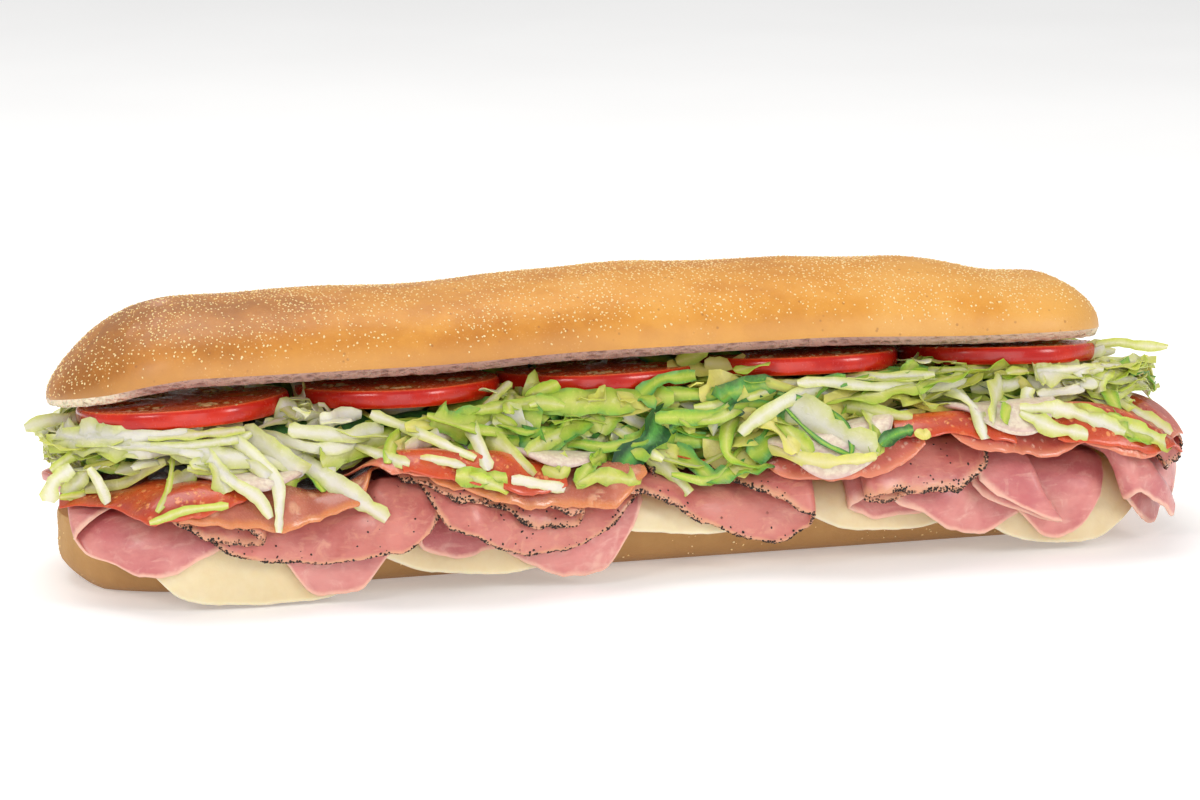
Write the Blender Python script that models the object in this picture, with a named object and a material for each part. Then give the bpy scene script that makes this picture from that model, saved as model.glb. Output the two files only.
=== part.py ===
"""Submarine sandwich, twelve inches long, built layer by layer from the table up.

The bottom bun half lies flat. Cheese, ham, peppered ham, capicola, salami,
pepperoni and onion slices rest on it in the order in which they were laid, and
hang over its sides. A heap of shredded lettuce, five tomato slices and the
tilted top half of the bun close it. X runs along the bun, -Y is the served
side, Z is up from the table.

The slices are laid in a flat working space (x, y, height over the cut), where
each one rests on the ones below it. One bend map then lets everything beyond
the bun's sides hang down, the lower layers more steeply than the upper ones.
"""
import math

import bmesh
import bpy
import numpy as np
from mathutils import Vector

MM = 0.001

# driving dimensions in millimetres
CUT_Z = 22.0             # height of the bottom half's cut face
HALF = 36.0              # half the width of the bun
SEG_LEFT = -116.0        # centres of the filling's round ends
SEG_RIGHT = 124.0
BEND = 10.2              # length of the bend over the bun's edge
HANG = math.radians(85)  # steepest hang, of the lowest layer
TILT = math.radians(9.0)     # the top half leans back
CRUMB = 2.4              # crumb showing below the upper crust
GAP = 0.28               # air between two layers
STEP = 10.0              # spacing of the working lattice along the bun
SLOPE = 0.50             # steepest climb of a slice along the bun
FALL = 0.20              # steepest fall of a slice towards its rim

# hang angle of the layers by their height over the cut, degrees
ANGLE_H = np.array([0.0, 3.0, 6.0, 10.0, 14.0, 18.0, 24.0, 32.0])
ANGLE_A = np.radians([85.0, 82.0, 76.0, 66.0, 54.0, 38.0, 20.0, 8.0])

# height over the table of the upper crust's lower edge on the served side
EDGE_X = [-153, -142, -130, -118, -60, -7, 50, 109, 143, 153]
EDGE_Z = [56.4, 57.6, 60.0, 61.3, 61.2, 62.7, 62.7, 60.6, 60.4, 60.6]
# height of the upper half's crown over its cut
DOME_X = [-152.5, -151, -148, -142.5, -137, -125, -111, -51, 3, 48, 91, 101,
          108, 114, 122, 134, 140, 147, 151, 152.5]
DOME_H = [2.0, 5.0, 9.0, 14.2, 17.8, 20.8, 21.8, 21.8, 22.4, 22.4, 21.8, 20.8,
          19.6, 18.3, 17.4, 16.8, 14.6, 9.8, 5.5, 2.6]

# tomato slices: centre x, front underside z, radius, lean back and roll in degrees
TOMATOES = [
    (-117.5, 48.5, 29.0, 5.8, 2.6),
    (-58.0, 50.2, 28.6, 5.4, 0.4),
    (-0.6, 50.9, 27.8, 6.2, 0.2),
    (58.5, 52.6, 29.2, 7.3, -0.2),
    (119.0, 51.9, 29.0, 8.4, -1.6),
]
TOMATO_Y = -8.5
TOMATO_T = 4.9

# slices from the lowest up: name, material, thickness, slack at the rim and
# legs. A leg is x at its start and end, how far each end drifts along the bun
# per millimetre of overhang, how far its start stands off the leg before it,
# and its rim as (x, height over the table).
SLICES = [
    ("cheese_1", "cheese", 1.4, 0.4, [
        (-141, -70, 0, 0, 0, [(-141, 16), (-138, 11), (-132, 5), (-124, 2.2),
                              (-108, 1.0), (-90, 1.0), (-80, 4), (-70, 12)])]),
    ("cheese_2", "cheese", 1.4, 0.4, [
        (-78, -8, 0, 0, 0, [(-78, 16), (-68, 10), (-58, 6.5), (-43, 4.6),
                            (-30, 5.2), (-20, 9), (-8, 18)])]),
    ("cheese_3", "cheese", 1.4, 0.4, [
        (-16, 52, 0, 0, 0, [(-16, 19), (-6, 15.5), (6, 12.8), (20, 11.7),
                            (32, 12), (42, 14), (52, 18)])]),
    ("cheese_4", "cheese", 1.4, 0.4, [
        (44, 112, 0, 0, 0, [(44, 19), (52, 14), (60, 10.8), (68, 9.3),
                            (80, 9.2), (92, 11), (102, 14), (112, 18)])]),
    ("cheese_5", "cheese", 1.4, 0.4, [
        (94, 158, 0, 0, 0, [(94, 17), (102, 9), (112, 4), (126, 2.0),
                            (138, 2.0), (148, 5), (158, 14)])]),
    ("ham_1", "ham", 1.05, 0.5, [
        (-108, -150, 0, 0, 0, [(-108, 22), (-116, 17), (-124, 12.5),
                               (-132, 10), (-140, 10.5), (-150, 15)]),
        (-150, -118, 0, 0, 4.5, [(-150, 17), (-142, 23.5), (-132, 25),
                                 (-118, 26)])]),
    ("ham_2", "ham", 1.05, 0.6, [
        (-104, -60, 0, 0, 0, [(-104, 20), (-97, 10), (-90, 3.2), (-84, 1.0),
                              (-78, 4), (-71, 12), (-65, 19), (-60, 25)])]),
    ("ham_3", "ham", 1.05, 0.8, [
        (2, -63, 0, 0, 0, [(2, 22), (-4, 12), (-9, 5.0), (-15, 2.8), (-24, 3.6),
                           (-33, 8), (-42, 13.5), (-48, 10.5), (-55, 8.6),
                           (-60, 14), (-63, 20)]),
        (-63, -34, 0, 0, 6.0, [(-63, 21), (-60, 26.5), (-54, 28), (-44, 27),
                               (-34, 26)])]),
    ("ham_4", "ham", 1.05, 0.5, [
        (90, 60, 0, 0, 0, [(90, 18), (84, 14.4), (76, 12.6), (67, 13.5),
                           (60, 17)]),
        (60, 84, 0, 0, 3.0, [(60, 18), (65, 20), (74, 19.5), (84, 19)])]),
    ("ham_5", "ham", 1.05, 0.5, [
        (64, 122, 0, 0, 0, [(64, 24), (74, 18.5), (82, 14), (90, 9.6),
                            (97, 6.4), (105, 8.8), (112, 13.5), (122, 20)])]),
    ("ham_6", "ham", 1.05, 0.8, [
        (102, 138, 0, 0, 0, [(102, 22), (110, 13), (117, 6.5), (123, 3.2),
                             (127, 2.6), (131, 9), (134, 15.5), (138, 24)])]),
    ("ham_7", "ham", 1.05, 0.6, [
        (94, 108, 0.2, 0.72, 0, [(94, 23), (97, 19), (104, 14), (110, 10),
                                 (117, 5.5), (124, 3.2)]),
        (108, 95, 0.72, 0.2, 2.0, [(124, 3.0), (117, 5.0), (110, 11),
                                   (104, 16), (97, 22)])]),
    ("ham_8", "ham", 1.05, 0.5, [
        (166, 129, 0, 0.95, 0, [(129, 18), (140, 12), (150, 7), (160, 4.0),
                                (166, 8)]),
        (129, 164, 0.95, 0, 2.6, [(129, 20), (140, 16), (150, 11), (160, 7.0),
                                  (164, 13)])]),
    ("pepper_ham_1", "pepper_ham", 1.05, 0.4, [
        (-56, -127, 0, 0, 0, [(-56, 26), (-62, 19), (-70, 15), (-87, 12),
                              (-96, 12.4), (-105, 13.6), (-114, 16),
                              (-121, 20.5), (-127, 26)]),
        (-127, -105, 0, 0, 0.4, [(-127, 26), (-120, 21), (-112, 17.5),
                                 (-105, 19)]),
        (-105, -124, 0, 0, 2.6, [(-105, 20), (-112, 24), (-124, 26)])]),
    ("pepper_ham_2", "pepper_ham", 1.05, 0.5, [
        (5, -67, 0, 0, 0, [(5, 27), (-3, 21), (-11, 15), (-23, 10.2),
                           (-32, 10.5), (-41, 13.8), (-51, 19), (-59, 26),
                           (-67, 33)]),
        (-67, -17, 0, 0, 0.6, [(-67, 33), (-58, 30), (-48, 26.5), (-38, 22.5),
                               (-31, 19), (-23, 16.5), (-17, 18)]),
        (-17, -46, 0, 0, 3.4, [(-17, 20.5), (-22, 23.5), (-32, 25.5),
                               (-46, 28)])]),
    ("pepper_ham_3", "pepper_ham", 1.05, 0.6, [
        (-4, 49, 0, 0, 0, [(-4, 26), (6, 22.5), (14, 18.5), (22, 14),
                           (29, 10.8), (37, 8.6), (44, 9.6), (49, 14)]),
        (49, 4, 0, 0, 3.2, [(49, 16), (44, 20), (36, 22.8), (24, 26),
                            (4, 30)])]),
    ("pepper_ham_4", "pepper_ham", 1.05, 0.4, [
        (86, 62, 0, 0, 0, [(86, 23), (74, 20.5), (66, 18.8), (62, 20)]),
        (62, 99, 0, 0, 4.2, [(62, 21.5), (68, 24), (76, 22.4), (86, 21.2),
                             (94, 24), (99, 28)]),
        (99, 66, 0, 0, 5.0, [(99, 31), (95, 35), (88, 37), (80, 35.5),
                             (66, 31)])]),
    ("pepper_ham_5", "pepper_ham", 1.05, 0.3, [
        (146, 159, 0, 0, 0, [(146, 24), (153, 22), (159, 22)]),
        (159, 122, 0, 0, 2.2, [(159, 26), (155, 27), (146, 29.5), (134, 32),
                               (122, 34)])]),
    ("capicola_1", "capicola", 1.0, 0.3, [
        (-126, -68, 0, 0, 0, [(-126, 27), (-118, 24.6), (-108, 23),
                              (-94, 22.8), (-84, 25.4), (-76, 30),
                              (-68, 36)])]),
    ("capicola_2", "capicola", 1.0, 0.3, [
        (-64, 2, 0, 0, 0, [(-64, 36), (-56, 32), (-46, 28), (-36, 25.4),
                           (-24, 23.6), (-10, 23.4), (-3, 26), (2, 31)])]),
    ("salami_1", "salami", 0.8, 0.2, [
        (-84, -40, 0, 0, 0, [(-84, 36), (-74, 35.5), (-62, 35), (-50, 33),
                             (-40, 32)])]),
    ("salami_2", "salami", 0.8, 0.2, [
        (4, 80, 0, 0, 0, [(4, 34), (14, 31.5), (24, 29.4), (36, 27.3),
                          (46, 26.6), (60, 27.2), (72, 30), (80, 34)])]),
    ("salami_3", "salami", 0.8, 0.2, [
        (80, 128, 0, 0, 0, [(80, 38), (90, 35), (98, 32.4), (107, 30),
                            (116, 29), (123, 30.4), (128, 33)])]),
    ("salami_4", "salami", 0.8, 0.2, [
        (122, 157, 0, 0, 0, [(122, 33), (136, 30), (150, 28), (157, 28)])]),
    ("pepperoni_1", "pepperoni", 0.8, 0.2, [
        (-151, -100, 0, 0, 0, [(-151, 25), (-146, 24.5), (-136, 25.5),
                               (-124, 27.5), (-112, 30), (-100, 33)])]),
    ("pepperoni_2", "pepperoni", 0.8, 0.2, [
        (-68, -22, 0, 0, 0, [(-68, 36), (-56, 34), (-44, 31), (-36, 28.6),
                             (-28, 28), (-22, 29)])]),
    ("pepperoni_3", "pepperoni", 0.8, 0.2, [
        (10, 48, 0, 0, 0, [(10, 35), (20, 33.5), (36, 33), (48, 34)])]),
    ("pepperoni_4", "pepperoni", 0.8, 0.2, [
        (72, 106, 0, 0, 0, [(72, 37), (84, 37), (96, 36), (106, 34)])]),
    ("pepperoni_5", "pepperoni", 0.8, 0.2, [
        (118, 150, 0, 0, 0, [(118, 34), (130, 32.5), (144, 30), (150, 29)])]),
]

# onion slices: centre x and y, radius, rim height on the served side
ONIONS = [
    (-105.0, -27.0, 21.0, 33.0),
    (-22.0, -28.0, 20.0, 33.5),
    (56.0, -29.0, 22.0, 27.2),
    (106.0, -26.0, 22.0, 35.0),
]
ONION_T = 2.0

COLOURS = {
    "crust": (0.72, 0.36, 0.11), "cheese": (0.90, 0.80, 0.58),
    "ham": (0.86, 0.45, 0.42), "pepper_ham": (0.80, 0.42, 0.38),
    "capicola": (0.85, 0.38, 0.22), "salami": (0.80, 0.28, 0.26),
    "pepperoni": (0.78, 0.17, 0.06), "onion": (0.92, 0.86, 0.82),
    "lettuce": (0.55, 0.72, 0.20), "tomato": (0.75, 0.06, 0.03),
}

XS = np.arange(-190.0, 211.0, STEP)
YS = np.array([50.0, 36.0, 19.0, 0.0, -19.0, -36.0, -41.1, -46.2, -54.0, -66.0])
# share of the full thickness and of the full fold opening at each station
PRESSED = np.array([0.7, 0.6, 0.6, 0.6, 0.65, 0.8, 1.0, 1.0, 1.0, 1.0])
OPENED = np.array([0.04, 0.05, 0.06, 0.08, 0.2, 0.45, 1.0, 1.0, 1.0, 1.0])
BACK, MIDDLE, FRONT = 1, 3, 5
ALL_ROWS = [0, 1, 3, 4, 5, 6, 7, 8, 9]
FEW_ROWS = [0, 1, 5, 6, 7, 8, 9]
floor = np.zeros((len(XS), len(YS)))


def bend(d, height, strength):
    """Radial and vertical place of a point d beyond the bun's side."""
    s = np.clip(d / BEND, 0.0, 1.0)
    a0 = HANG * strength
    radius = BEND / a0
    past = np.maximum(d - BEND, 0.0)
    out = radius * np.sin(a0 * s) + past * np.cos(a0)
    down = -radius * (1.0 - np.cos(a0 * s)) - past * np.sin(a0)
    steps = 24
    part = height / steps
    for i in range(steps):
        a = np.interp((i + 0.5) * part, ANGLE_H, ANGLE_A) * strength * s
        out = out + np.sin(a) * part
        down = down + np.cos(a) * part
    return out, down


def world(x, y, height):
    """Place of a working-space point over the table, in millimetres."""
    x = np.asarray(x, float)
    y = np.asarray(y, float)
    height = np.asarray(height, float)
    cx = np.clip(x, SEG_LEFT, SEG_RIGHT)
    vx = x - cx
    rho = np.maximum(np.hypot(vx, y), 1e-6)
    d = np.maximum(rho - HALF, 0.0)
    side = 0.5 - 0.5 * y / rho
    strength = 0.58 + 0.42 * np.clip(side * 1.4, 0.0, 1.0)
    out, down = bend(d, height, strength)
    reach = np.minimum(rho, HALF) + np.where(d > 0, out, 0.0)
    z = CUT_Z + np.where(d > 0, down, height)
    return np.stack([cx + vx / rho * reach, y / rho * reach, z], axis=-1)


def resting(surface):
    """The surface a slice takes over what lies below it: its slopes are limited."""
    s = surface.copy()
    for k in range(FRONT + 1, len(YS)):
        s[:, k] = np.maximum(s[:, k], s[:, k - 1] - FALL * (YS[k - 1] - YS[k]))
    for k in range(BACK - 1, -1, -1):
        s[:, k] = np.maximum(s[:, k], s[:, k + 1] - FALL * (YS[k] - YS[k + 1]))
    for i in range(1, len(XS)):
        s[i] = np.maximum(s[i], s[i - 1] - SLOPE * STEP)
    for i in range(len(XS) - 2, -1, -1):
        s[i] = np.maximum(s[i], s[i + 1] - SLOPE * STEP)
    soft = s.copy()
    soft[1:-1] = (s[:-2] + 2 * s[1:-1] + s[2:]) / 4
    return np.maximum(s, soft)


def near_line(x):
    """Offsets at which the floor is read for a column between two lines."""
    off = XS - x
    close = off[abs(off) < 1.6]
    return (0.0, float(close[0])) if len(close) else (0.0,)


def lay(name, thick, slack, legs, back_drop):
    """Columns of one slice: x and height at each station and its two rims."""
    stations = np.arange(len(YS))
    hang = np.maximum(-YS - HALF, 0.0)
    cols_x, cols_h, rims = [], [], []
    prev_end = None
    for number, (xs, xe, drift_s, drift_e, stand, rim) in enumerate(legs):
        rim = sorted(rim)
        rim_x = [p[0] for p in rim]
        rim_z = [p[1] for p in rim]
        under = resting(floor)
        way = 1.0 if xe > xs else -1.0
        start = xs + drift_s * hang
        end = xe + drift_e * hang
        half = thick / 2 * PRESSED
        air = GAP + half + slack * 0.6 * np.clip(hang / 8.0, 0, 1)
        lift = stand * OPENED

        drifts = max(np.ptp(start), np.ptp(end)) > 6.0
        reach = (-6.0, -4.0, -2.0, 0.0, 2.0, 4.0, 6.0)

        def height(xk, k):
            on_line = not drifts and np.min(abs(XS - xk)) < 0.01
            off = lift[k] * np.clip(1 - abs(xk - start[k]) / 30.0, 0, 1) ** 1.3
            places = (0.0,) if on_line else near_line(xk)
            if drifts:
                places = reach
            below = max(np.interp(xk + s, XS, under[:, k]) for s in places)
            far = 0.5 * np.clip((abs(xk) - 118.0) / 14.0, 0, 1)
            far += 0.05 * max(0.0, abs(xk) - 145.0)
            return below + air[k] + off + far

        if prev_end is not None:
            # round the turn from the leg before this one
            x0, h0, z0, way0 = prev_end
            h1 = levelled(x0, np.array([height(x0[k], k) for k in stations]))
            rise = h1 - h0
            z1 = float(np.interp(x0[FRONT + 1], rim_x, rim_z))
            nose = np.minimum(rise / 2, nose_room)
            for a in ((-42, 42) if stand > 1 else (0,)):
                ra = math.radians(a)
                cols_x.append(x0 + way0 * nose * math.cos(ra))
                cols_h.append(h0 + rise / 2 * (1 + math.sin(ra)))
                f = 0.5 + 0.5 * math.sin(ra)
                rims.append(z0 * (1 - f) + z1 * f)
            start = x0
        follows = number + 1 < len(legs)
        if follows:
            # the turn's nose stays within the slice's own end
            nose_room = np.minimum((thick + GAP + legs[number + 1][4] * OPENED) / 2, 5.0)
            end = end - way * nose_room
        lo = np.minimum(start, end).max() if way > 0 else np.minimum(start, end).max()
        hi = np.maximum(start, end).min()
        inner = [np.full(len(YS), x) for x in XS if lo + 1.5 < x < hi - 1.5]
        if way < 0:
            inner = inner[::-1]
        if drifts:
            count = max(3, round(abs(xe - xs) / 7.0))
            inner = [start + (end - start) * i / count for i in range(1, count)]
        leg_cols = [start] + inner + [end]
        first = len(cols_x)
        for xk in leg_cols:
            cols_x.append(np.array(xk, float))
            cols_h.append(levelled(xk, np.array([height(xk[k], k) for k in stations])))
            rims.append(float(np.interp(xk[FRONT + 1], rim_x, rim_z)))
        prev_end = (end, cols_h[-1], rims[-1], way)
        # what lies above this leg has to clear it
        turn = first
        if number:
            turn = first - (2 if stand > 1 else 1)
        px = np.array(cols_x[turn:])
        ph = np.array(cols_h[turn:]) + thick / 2 * PRESSED
        ph[:first - turn] = ph[first - turn]
        front, behind = limits(cols_x[turn:], cols_h[turn:], rims[turn:], back_drop)
        cover(px, ph + (0.7 if drifts else 0.0), front, behind)
    return np.array(cols_x), np.array(cols_h), rims


def cover(px, tops, fronts, backs):
    """Raise the floor under everything that is laid later."""
    n = len(px)
    for c in range(n):
        near_by = slice(max(0, c - 1), min(n, c + 2))
        far = math.ceil(max(fronts[near_by]) - 1e-6)
        near = math.floor(min(backs[near_by]) + 1e-6)
        for k in range(near, min(far, len(YS) - 1) + 1):
            at = (px[c][k] - XS[0]) / STEP
            i = int(math.floor(at + 1e-3))
            lines = (i,) if abs(at - round(at)) < 1e-3 else (i, i + 1)
            for line in lines:
                floor[line, k] = max(floor[line, k], tops[c][k])


def limits(cols_x, cols_h, rims, back_drop):
    """Fractional station of the front and the back rim of each column."""
    fronts, backs = [], []
    n = len(cols_x)
    mids = [c[MIDDLE] for c in cols_x]
    lo, hi = min(mids), max(mids)
    for x, h, rim in zip(cols_x, cols_h, rims):
        z = world(x, YS, h)[:, 2]
        level = z[MIDDLE]
        kf = None
        if z[FRONT] < rim and level - z[FRONT] < 1.5:
            kf = FRONT + 0.35
        else:
            for k in range(MIDDLE, len(YS) - 1):
                if z[k] >= rim > z[k + 1]:
                    kf = k + (z[k] - rim) / (z[k] - z[k + 1])
                    break
        if kf is None:
            kf = MIDDLE + 0.3 if z[MIDDLE] < rim else len(YS) - 1.0
        u = (x[MIDDLE] - (lo + hi) / 2) / max((hi - lo) / 2, 1.0)
        target = level - 0.8 - back_drop * math.sqrt(max(0.0, 1 - u * u))
        kb = None
        for k in range(MIDDLE, 0, -1):
            if z[k] >= target > z[k - 1]:
                kb = k - (z[k] - target) / (z[k] - z[k - 1])
                break
        if kb is None:
            kb = 0.3
        fronts.append(kf)
        backs.append(min(kb, kf - 0.4))
    return np.array(fronts), np.array(backs)


def slab(name, cols_x, cols_h, fronts, backs, thick, rows):
    """Solid slice: a clipped grid of columns, thickened to both sides."""
    n, m = cols_x.shape
    tx = np.gradient(cols_x, axis=0)
    th = np.gradient(cols_h, axis=0)
    size = np.maximum(np.hypot(tx, th), 1e-6)
    half = thick / 2 * PRESSED
    nx, nh = -th / size * half, tx / size * half
    ys = np.broadcast_to(YS, cols_x.shape)
    upper = world(cols_x + nx, ys, cols_h + nh)
    lower = world(cols_x - nx, ys, cols_h - nh)
    fr = np.interp(fronts, rows, np.arange(len(rows)))
    ba = np.interp(backs, rows, np.arange(len(rows)))
    fr = np.where(abs(fr - np.round(fr)) < 0.07, np.round(fr), fr)
    ids, places_a, places_b, faces = {}, [], [], []
    for c in range(n - 1):
        rising = cols_x[c + 1, FRONT] > cols_x[c, FRONT]
        for r in range(len(rows) - 1):
            corner = [(c, r), (c + 1, r), (c + 1, r + 1), (c, r + 1)]
            split = ((0, 1, 2), (0, 2, 3)) if rising else ((0, 1, 3), (1, 2, 3))
            for tri in split:
                poly = []
                for i in tri:
                    cc, rr = corner[i]
                    poly.append(np.concatenate([(cc, rr), upper[cc, rows[rr]], lower[cc, rows[rr]]]))
                poly = clipped(poly, lambda v: fr[c] + (fr[c + 1] - fr[c]) * (v[0] - c) - v[1])
                poly = clipped(poly, lambda v: v[1] - ba[c] - (ba[c + 1] - ba[c]) * (v[0] - c))
                loop = []
                for v in poly:
                    key = (round(v[0] * 500), round(v[1] * 500))
                    if key not in ids:
                        ids[key] = len(places_a)
                        places_a.append(v[2:5])
                        places_b.append(v[5:8])
                    if ids[key] not in loop:
                        loop.append(ids[key])
                faces += [(loop[0], loop[i], loop[i + 1]) for i in range(1, len(loop) - 1)]
    count = len(places_a)
    edges = {}
    for f in faces:
        for i in range(3):
            e = (f[i], f[(i + 1) % 3])
            edges[e] = True
    solid = [tuple(f) for f in faces]
    solid += [tuple(count + i for i in reversed(f)) for f in faces]
    for (u, v) in list(edges):
        if (v, u) not in edges:
            solid.append((v, u, count + u))
            solid.append((v, count + u, count + v))
    verts = [Vector(p) * MM for p in places_a + places_b]
    return solid_object(name, verts, solid)


def levelled(x, heights):
    """Away from the round ends a slice runs straight from side to side."""
    if abs(x[MIDDLE]) < 85.0:
        for k in range(BACK + 1, FRONT):
            f = (YS[BACK] - YS[k]) / (YS[BACK] - YS[FRONT])
            heights[k] = heights[BACK] * (1 - f) + heights[FRONT] * f
    return heights


def clipped(poly, keep):
    """The part of a polygon where keep is positive, its values carried along."""
    out = []
    for i, v in enumerate(poly):
        w = poly[(i + 1) % len(poly)]
        gv, gw = keep(v), keep(w)
        if gv >= -1e-9:
            out.append(v)
        if (gv > 1e-9 and gw < -1e-9) or (gv < -1e-9 and gw > 1e-9):
            out.append(v + (w - v) * gv / (gv - gw))
    return out


def solid_object(name, verts, faces):
    mesh = bpy.data.meshes.new(name)
    mesh.from_pydata([tuple(v) for v in verts], [], faces)
    bm = bmesh.new()
    bm.from_mesh(mesh)
    bmesh.ops.remove_doubles(bm, verts=bm.verts, dist=1e-6)
    bmesh.ops.recalc_face_normals(bm, faces=bm.faces)
    if bm.calc_volume(signed=True) < 0:
        bmesh.ops.reverse_faces(bm, faces=bm.faces)
    loose = [v for v in bm.verts if not v.link_faces]
    bmesh.ops.delete(bm, geom=loose, context="VERTS")
    bm.to_mesh(mesh)
    bm.free()
    return link(bpy.data.objects.new(name, mesh))


def link(obj):
    kit.objects.link(obj)
    return obj


def paint(obj, slot):
    if slot not in bpy.data.materials:
        mat = bpy.data.materials.new(slot)
        mat.use_nodes = True
        bsdf = mat.node_tree.nodes["Principled BSDF"]
        bsdf.inputs["Base Color"].default_value = (*COLOURS[slot], 1.0)
        bsdf.inputs["Roughness"].default_value = 0.5
        mat.diffuse_color = (*COLOURS[slot], 1.0)
    obj.data.materials.clear()
    obj.data.materials.append(bpy.data.materials[slot])
    return obj


def half_width(x, left, right, wide):
    """Half the bun's width at x: round ends of different length."""
    if x < 0:
        u = max(0.0, (-x - (152.5 - left)) / left)
    else:
        u = max(0.0, (x - (152.5 - right)) / right)
    u = min(u, 1.0)
    return max(wide * math.sqrt(max(0.0, 1 - u ** 2.1)), 2.2)


def loft(name, sections):
    """Closed body through rings of equal count, with pointed ends."""
    n = len(sections[0])
    verts = [v for ring in sections for v in ring]
    faces = []
    for i in range(len(sections) - 1):
        for j in range(n):
            a, b = i * n + j, i * n + (j + 1) % n
            faces.append((a, b, b + n))
            faces.append((a, b + n, a + n))
    for ring, flip in ((0, False), (len(sections) - 1, True)):
        loop = [ring * n + j for j in range(n)]
        centre = sum((Vector(verts[i]) for i in loop), Vector()) / n
        verts.append(centre)
        hub = len(verts) - 1
        for j in range(n):
            pair = (loop[j], loop[(j + 1) % n])
            faces.append((pair[1], pair[0], hub) if not flip else (pair[0], pair[1], hub))
    return solid_object(name, [Vector(v) * MM for v in verts], faces)


def top_bun():
    """Upper half: a leaning dome over a slightly lower crumb."""
    stations = [-152.5, -151.2, -148.5, -144, -137, -127, -113, -95, -73, -50, -26,
                -2, 22, 46, 68, 86, 97, 106, 116, 127, 136, 143, 148, 151, 152.5]
    arcs = np.radians([0, 10, 24, 42, 64, 90, 116, 138, 156, 170, 180])
    rings = []
    for x in stations:
        w = half_width(x, 46.0, 30.0, 37.0)
        h = float(np.interp(x, DOME_X, DOME_H))
        edge = float(np.interp(x, EDGE_X, EDGE_Z))
        lump = 0.3 * math.sin(x * 0.071 + 1.0) + 0.2 * math.sin(x * 0.143)
        ring = []
        for a in arcs:
            y = -math.cos(a) * w * (1 + 0.012 * math.sin(x * 0.05 + 2))
            z = math.sin(a) ** 0.86 * (h + lump * math.sin(a))
            ring.append((y, z))
        low = min(CRUMB, h * 0.4)
        inset = min(2.6, w * 0.4)
        ring.append((w - inset, -low))
        ring.append((0.0, -low))
        ring.append((-w + inset, -low))
        placed = []
        for y, z in ring:
            yy = y * math.cos(TILT) + z * math.sin(TILT)
            zz = edge - (y + HALF) * math.sin(TILT) + z * math.cos(TILT)
            placed.append((x - 2.5 * max(0.0, x - 110.0) / 42.5, yy, zz))
        rings.append(placed)
    return loft("top_bun", rings)


def bottom_bun():
    """Lower half: flat on the table and flat at the cut."""
    stations = [-150.0, -148.5, -145, -139, -130, -117, -98, -72, -42, -10,
                22, 54, 84, 106, 121, 131, 139, 145, 148.5, 150]
    rings = []
    for x in stations:
        w = half_width(x * 1.016, 43.0, 33.0, 35.6)
        k = w / 35.6
        lift = 9.0 * (1 - min(1.0, k * 1.6)) if k < 0.625 else 0.0
        foot = max(w - 9.0 - 4.0 * k, w * 0.25)
        belly = 0.4 * math.sin(x * 0.06)
        top = CUT_Z - 4.5 * (1 - k)
        side = [(w - 1.3, top), (w, top - 1.6), (w + 0.5 + belly * k, CUT_Z - 6.0),
                (w - 0.2, CUT_Z - 11.0),
                (w * 0.935, 6.5), (w * 0.83, 2.6), (foot, 0.0)]
        ring = [(-y, z) for y, z in side]
        ring += [(y, z) for y, z in reversed(side)]
        if lift > 0:
            ring = [(y, lift + z * (CUT_Z - lift) / CUT_Z) for y, z in ring]
        rings.append([(x, y, z) for y, z in ring])
    return loft("bottom_bun", rings)


def tomato(index, data):
    """One slice: an uneven disc with rounded rims, leaning and rolled."""
    cx, front_z, radius, lean, roll = data
    bm = bmesh.new()
    bmesh.ops.create_cone(bm, cap_ends=True, segments=22, radius1=radius,
                          radius2=radius, depth=TOMATO_T)
    for v in bm.verts:
        a = math.atan2(v.co.y, v.co.x)
        f = 1 + 0.014 * math.sin(5 * a + index * 1.7) + 0.010 * math.sin(3 * a + index)
        v.co.x *= f
        v.co.y *= f * 0.985
    rims = [e for e in bm.edges if abs(e.verts[0].co.z - e.verts[1].co.z) < 1e-6
            and len(e.link_faces) == 2]
    bmesh.ops.bevel(bm, geom=rims, offset=0.9, segments=1, affect="EDGES")
    tilt_x = math.radians(-lean)
    tilt_y = math.radians(-roll)
    back = radius * 0.985
    cz = front_z - back * math.sin(math.radians(lean)) + TOMATO_T / 2
    for v in bm.verts:
        x, y, z = v.co
        y, z = (y * math.cos(tilt_x) - z * math.sin(tilt_x),
                y * math.sin(tilt_x) + z * math.cos(tilt_x))
        x, z = (x * math.cos(tilt_y) + z * math.sin(tilt_y),
                -x * math.sin(tilt_y) + z * math.cos(tilt_y))
        v.co = Vector((x + cx, y + TOMATO_Y, z + cz)) * MM
    bmesh.ops.triangulate(bm, faces=bm.faces)
    mesh = bpy.data.meshes.new(f"tomato_{index}")
    bm.to_mesh(mesh)
    bm.free()
    return link(bpy.data.objects.new(f"tomato_{index}", mesh))


def tomato_underside(x, y):
    """Lowest tomato underside over a point of the table plane."""
    best = None
    near, near_z = 1e9, 0.0
    for cx, front_z, radius, lean, roll in TOMATOES:
        z = front_z - (y - (TOMATO_Y - radius)) * math.tan(math.radians(lean))
        z += (x - cx) * math.tan(math.radians(roll))
        gap = math.hypot(x - cx, y - TOMATO_Y) - radius
        if gap < 5.0:
            best = z if best is None else min(best, z)
        if gap < near:
            near, near_z = gap, z
    return near_z if best is None else best


def floor_at(x, y):
    """Height of the laid slices over the cut, between the lattice points."""
    col = [np.interp(x, XS, floor[:, k]) for k in range(len(YS))]
    return float(np.interp(-y, -YS, col))


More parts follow.
